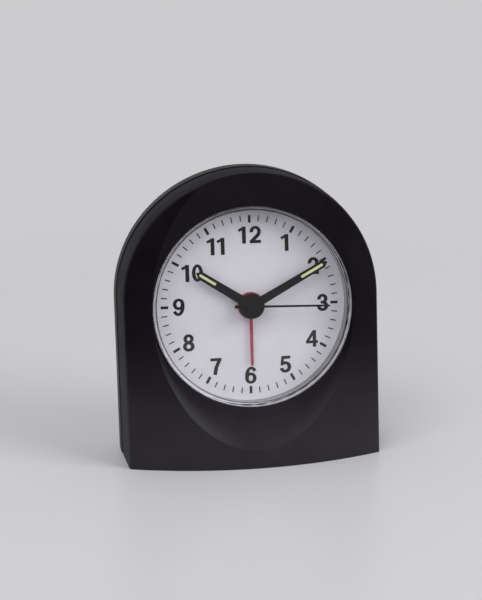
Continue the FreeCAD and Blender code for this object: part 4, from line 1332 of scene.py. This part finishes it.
@dataclass
class Studio:
    """Pale sweep, soft lamps and the camera at the photograph's angle."""

    pale: Triple = (0.61, 0.60, 0.615)
    lit: Triple = (0.88, 0.865, 0.885)
    floor_gloss: Pair = (0.3, 0.3)
    room: float = 0.5
    floor_half: float = 4.0
    fade: Pair = (0.10, 0.40)
    lamps: tuple[Lamp, ...] = (
        Lamp("left_lamp", (-0.55, -0.55, 1.0), 0.9, 4.4),
        Lamp("right_lamp", (0.98, -0.55, 0.72), 0.7, 6.2),
    )
    target: Triple = (0.0, 0.0, 0.05)
    card: Triple = (8.0, 4.0, -1.6)
    card_glow: Triple = (0.016, 0.012, 0.019)
    eye: Triple = (-84.17, -458.97, 192.66)
    yaw: float = 0.1764
    pitch: float = 0.2913
    lens: float = 84.0

    def floor(self) -> None:
        """Lays the floor, whose lit patch fades into the plain background."""
        shape = bmesh.new()
        bmesh.ops.create_grid(shape, x_segments=1, y_segments=1, size=self.floor_half)
        material = bpy.data.materials.new("pale floor")
        board = bare_board(material)
        place = board.add("TexCoord").outputs["Object"]
        away = board.add("VectorMath", {0: place}, operation="LENGTH").outputs["Value"]
        rough, shine = self.floor_gloss
        lit = board.surface(
            Base_Color=tone(self.lit), Roughness=rough, Specular_IOR_Level=shine
        )
        plain = board.add("Emission", {"Color": tone(self.pale), "Strength": 1.0}).outputs[0]
        shown = board.either(board.spread(away, *self.fade), lit, plain)
        board.add("OutputMaterial", {0: shown})
        show("floor", shape, material)

    def surroundings(self) -> None:
        """Sets the room's even light and the plain background that eyes and gloss see."""
        world = bpy.data.worlds.new("studio room")
        board = bare_board(world)
        path = board.add("LightPath").outputs
        seen = board.maths("MAXIMUM", path["Is Camera Ray"], path["Is Transmission Ray"])
        seen = board.maths("MAXIMUM", seen, path["Is Glossy Ray"])
        light = board.add("Background", {"Color": (1, 1, 1, 1), "Strength": self.room})
        plain = board.add("Background", {"Color": tone(self.pale), "Strength": 1.0})
        mixed = board.either(seen, light.outputs[0], plain.outputs[0])
        board.add("OutputWorld", {0: mixed})
        bpy.context.scene.world = world

    def hang(self, lamp: Lamp) -> None:
        """Hangs a lamp that faces the clock.

        Args:
            lamp: what the lamp is like.
        """
        data = bpy.data.lights.new(lamp.name, "AREA")
        data.size = lamp.size
        data.energy = lamp.power
        made = bpy.data.objects.new(lamp.name, data)
        made.location = lamp.spot
        aim = Vector(self.target) - Vector(lamp.spot)
        made.rotation_euler = aim.to_track_quat("-Z", "Y").to_euler()
        bpy.context.scene.collection.objects.link(made)

    def dark_card(self) -> None:
        """Stands a dark card behind the camera, out of its sight, for the front to mirror."""
        shape = bmesh.new()
        bmesh.ops.create_grid(shape, x_segments=1, y_segments=1, size=0.5)
        wide, high, far = self.card
        place = Matrix.Translation((0, far, high / 2)) @ Matrix.Rotation(math.pi / 2, 4, "X")
        place = place @ Matrix.Diagonal((wide, high, 1, 1))
        bmesh.ops.transform(shape, matrix=place, verts=shape.verts[:])
        material = bpy.data.materials.new("dark card")
        board = bare_board(material)
        glow = board.add("Emission", {"Color": tone(self.card_glow)}).outputs[0]
        board.add("OutputMaterial", {0: glow})
        made = show("dark_card", shape, material)
        made.visible_camera = False
        made.visible_transmission = False

    def camera(self) -> None:
        """Sets the camera where the photograph was taken from."""
        data = bpy.data.cameras.new("camera")
        data.lens = self.lens
        data.sensor_width = 36.0
        data.clip_start = 0.01
        made = bpy.data.objects.new("camera", data)
        made.location = Vector(self.eye) * MM
        made.rotation_euler = (math.pi / 2 - self.pitch, 0, -self.yaw)
        bpy.context.scene.collection.objects.link(made)
        bpy.context.scene.camera = made

    def build(self) -> None:
        """Sets up the whole studio."""
        self.floor()
        self.surroundings()
        for lamp in self.lamps:
            self.hang(lamp)
        self.dark_card()
        self.camera()
        bpy.context.scene.view_settings.view_transform = "Standard"


def dress_nodes(nodes: dict[str, Object]) -> None:
    """Gives each CAD node the finish of the slot that its packed material names.

    Args:
        nodes: the CAD nodes by name.
    """
    for name, node in nodes.items():
        slot = node.data.materials[0].name.split(".")[0]
        for index in range(len(node.data.materials)):
            node.data.materials[index] = FINISHES[slot].material()
        LOG.info("%s: %s", name, FINISHES[slot].title)


def main() -> None:
    """Builds the looks of the clock piece by piece."""
    logging.basicConfig(level=logging.INFO, format="%(name)s %(message)s")
    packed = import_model()
    frame = DialFrame.from_joints(packed["joints"])
    dress_nodes(packed["nodes"])
    Case(packed["nodes"], frame).build()
    DialPrint(frame).build()
    for small in SMALL_PIECES:
        small.build(packed["nodes"])
    Hands(frame, packed["nodes"]).build()
    Screws(frame).build()
    Cell(frame).build()
    Crystal(frame).build()
    Studio().build()


if __name__ == "__main__":
    main()
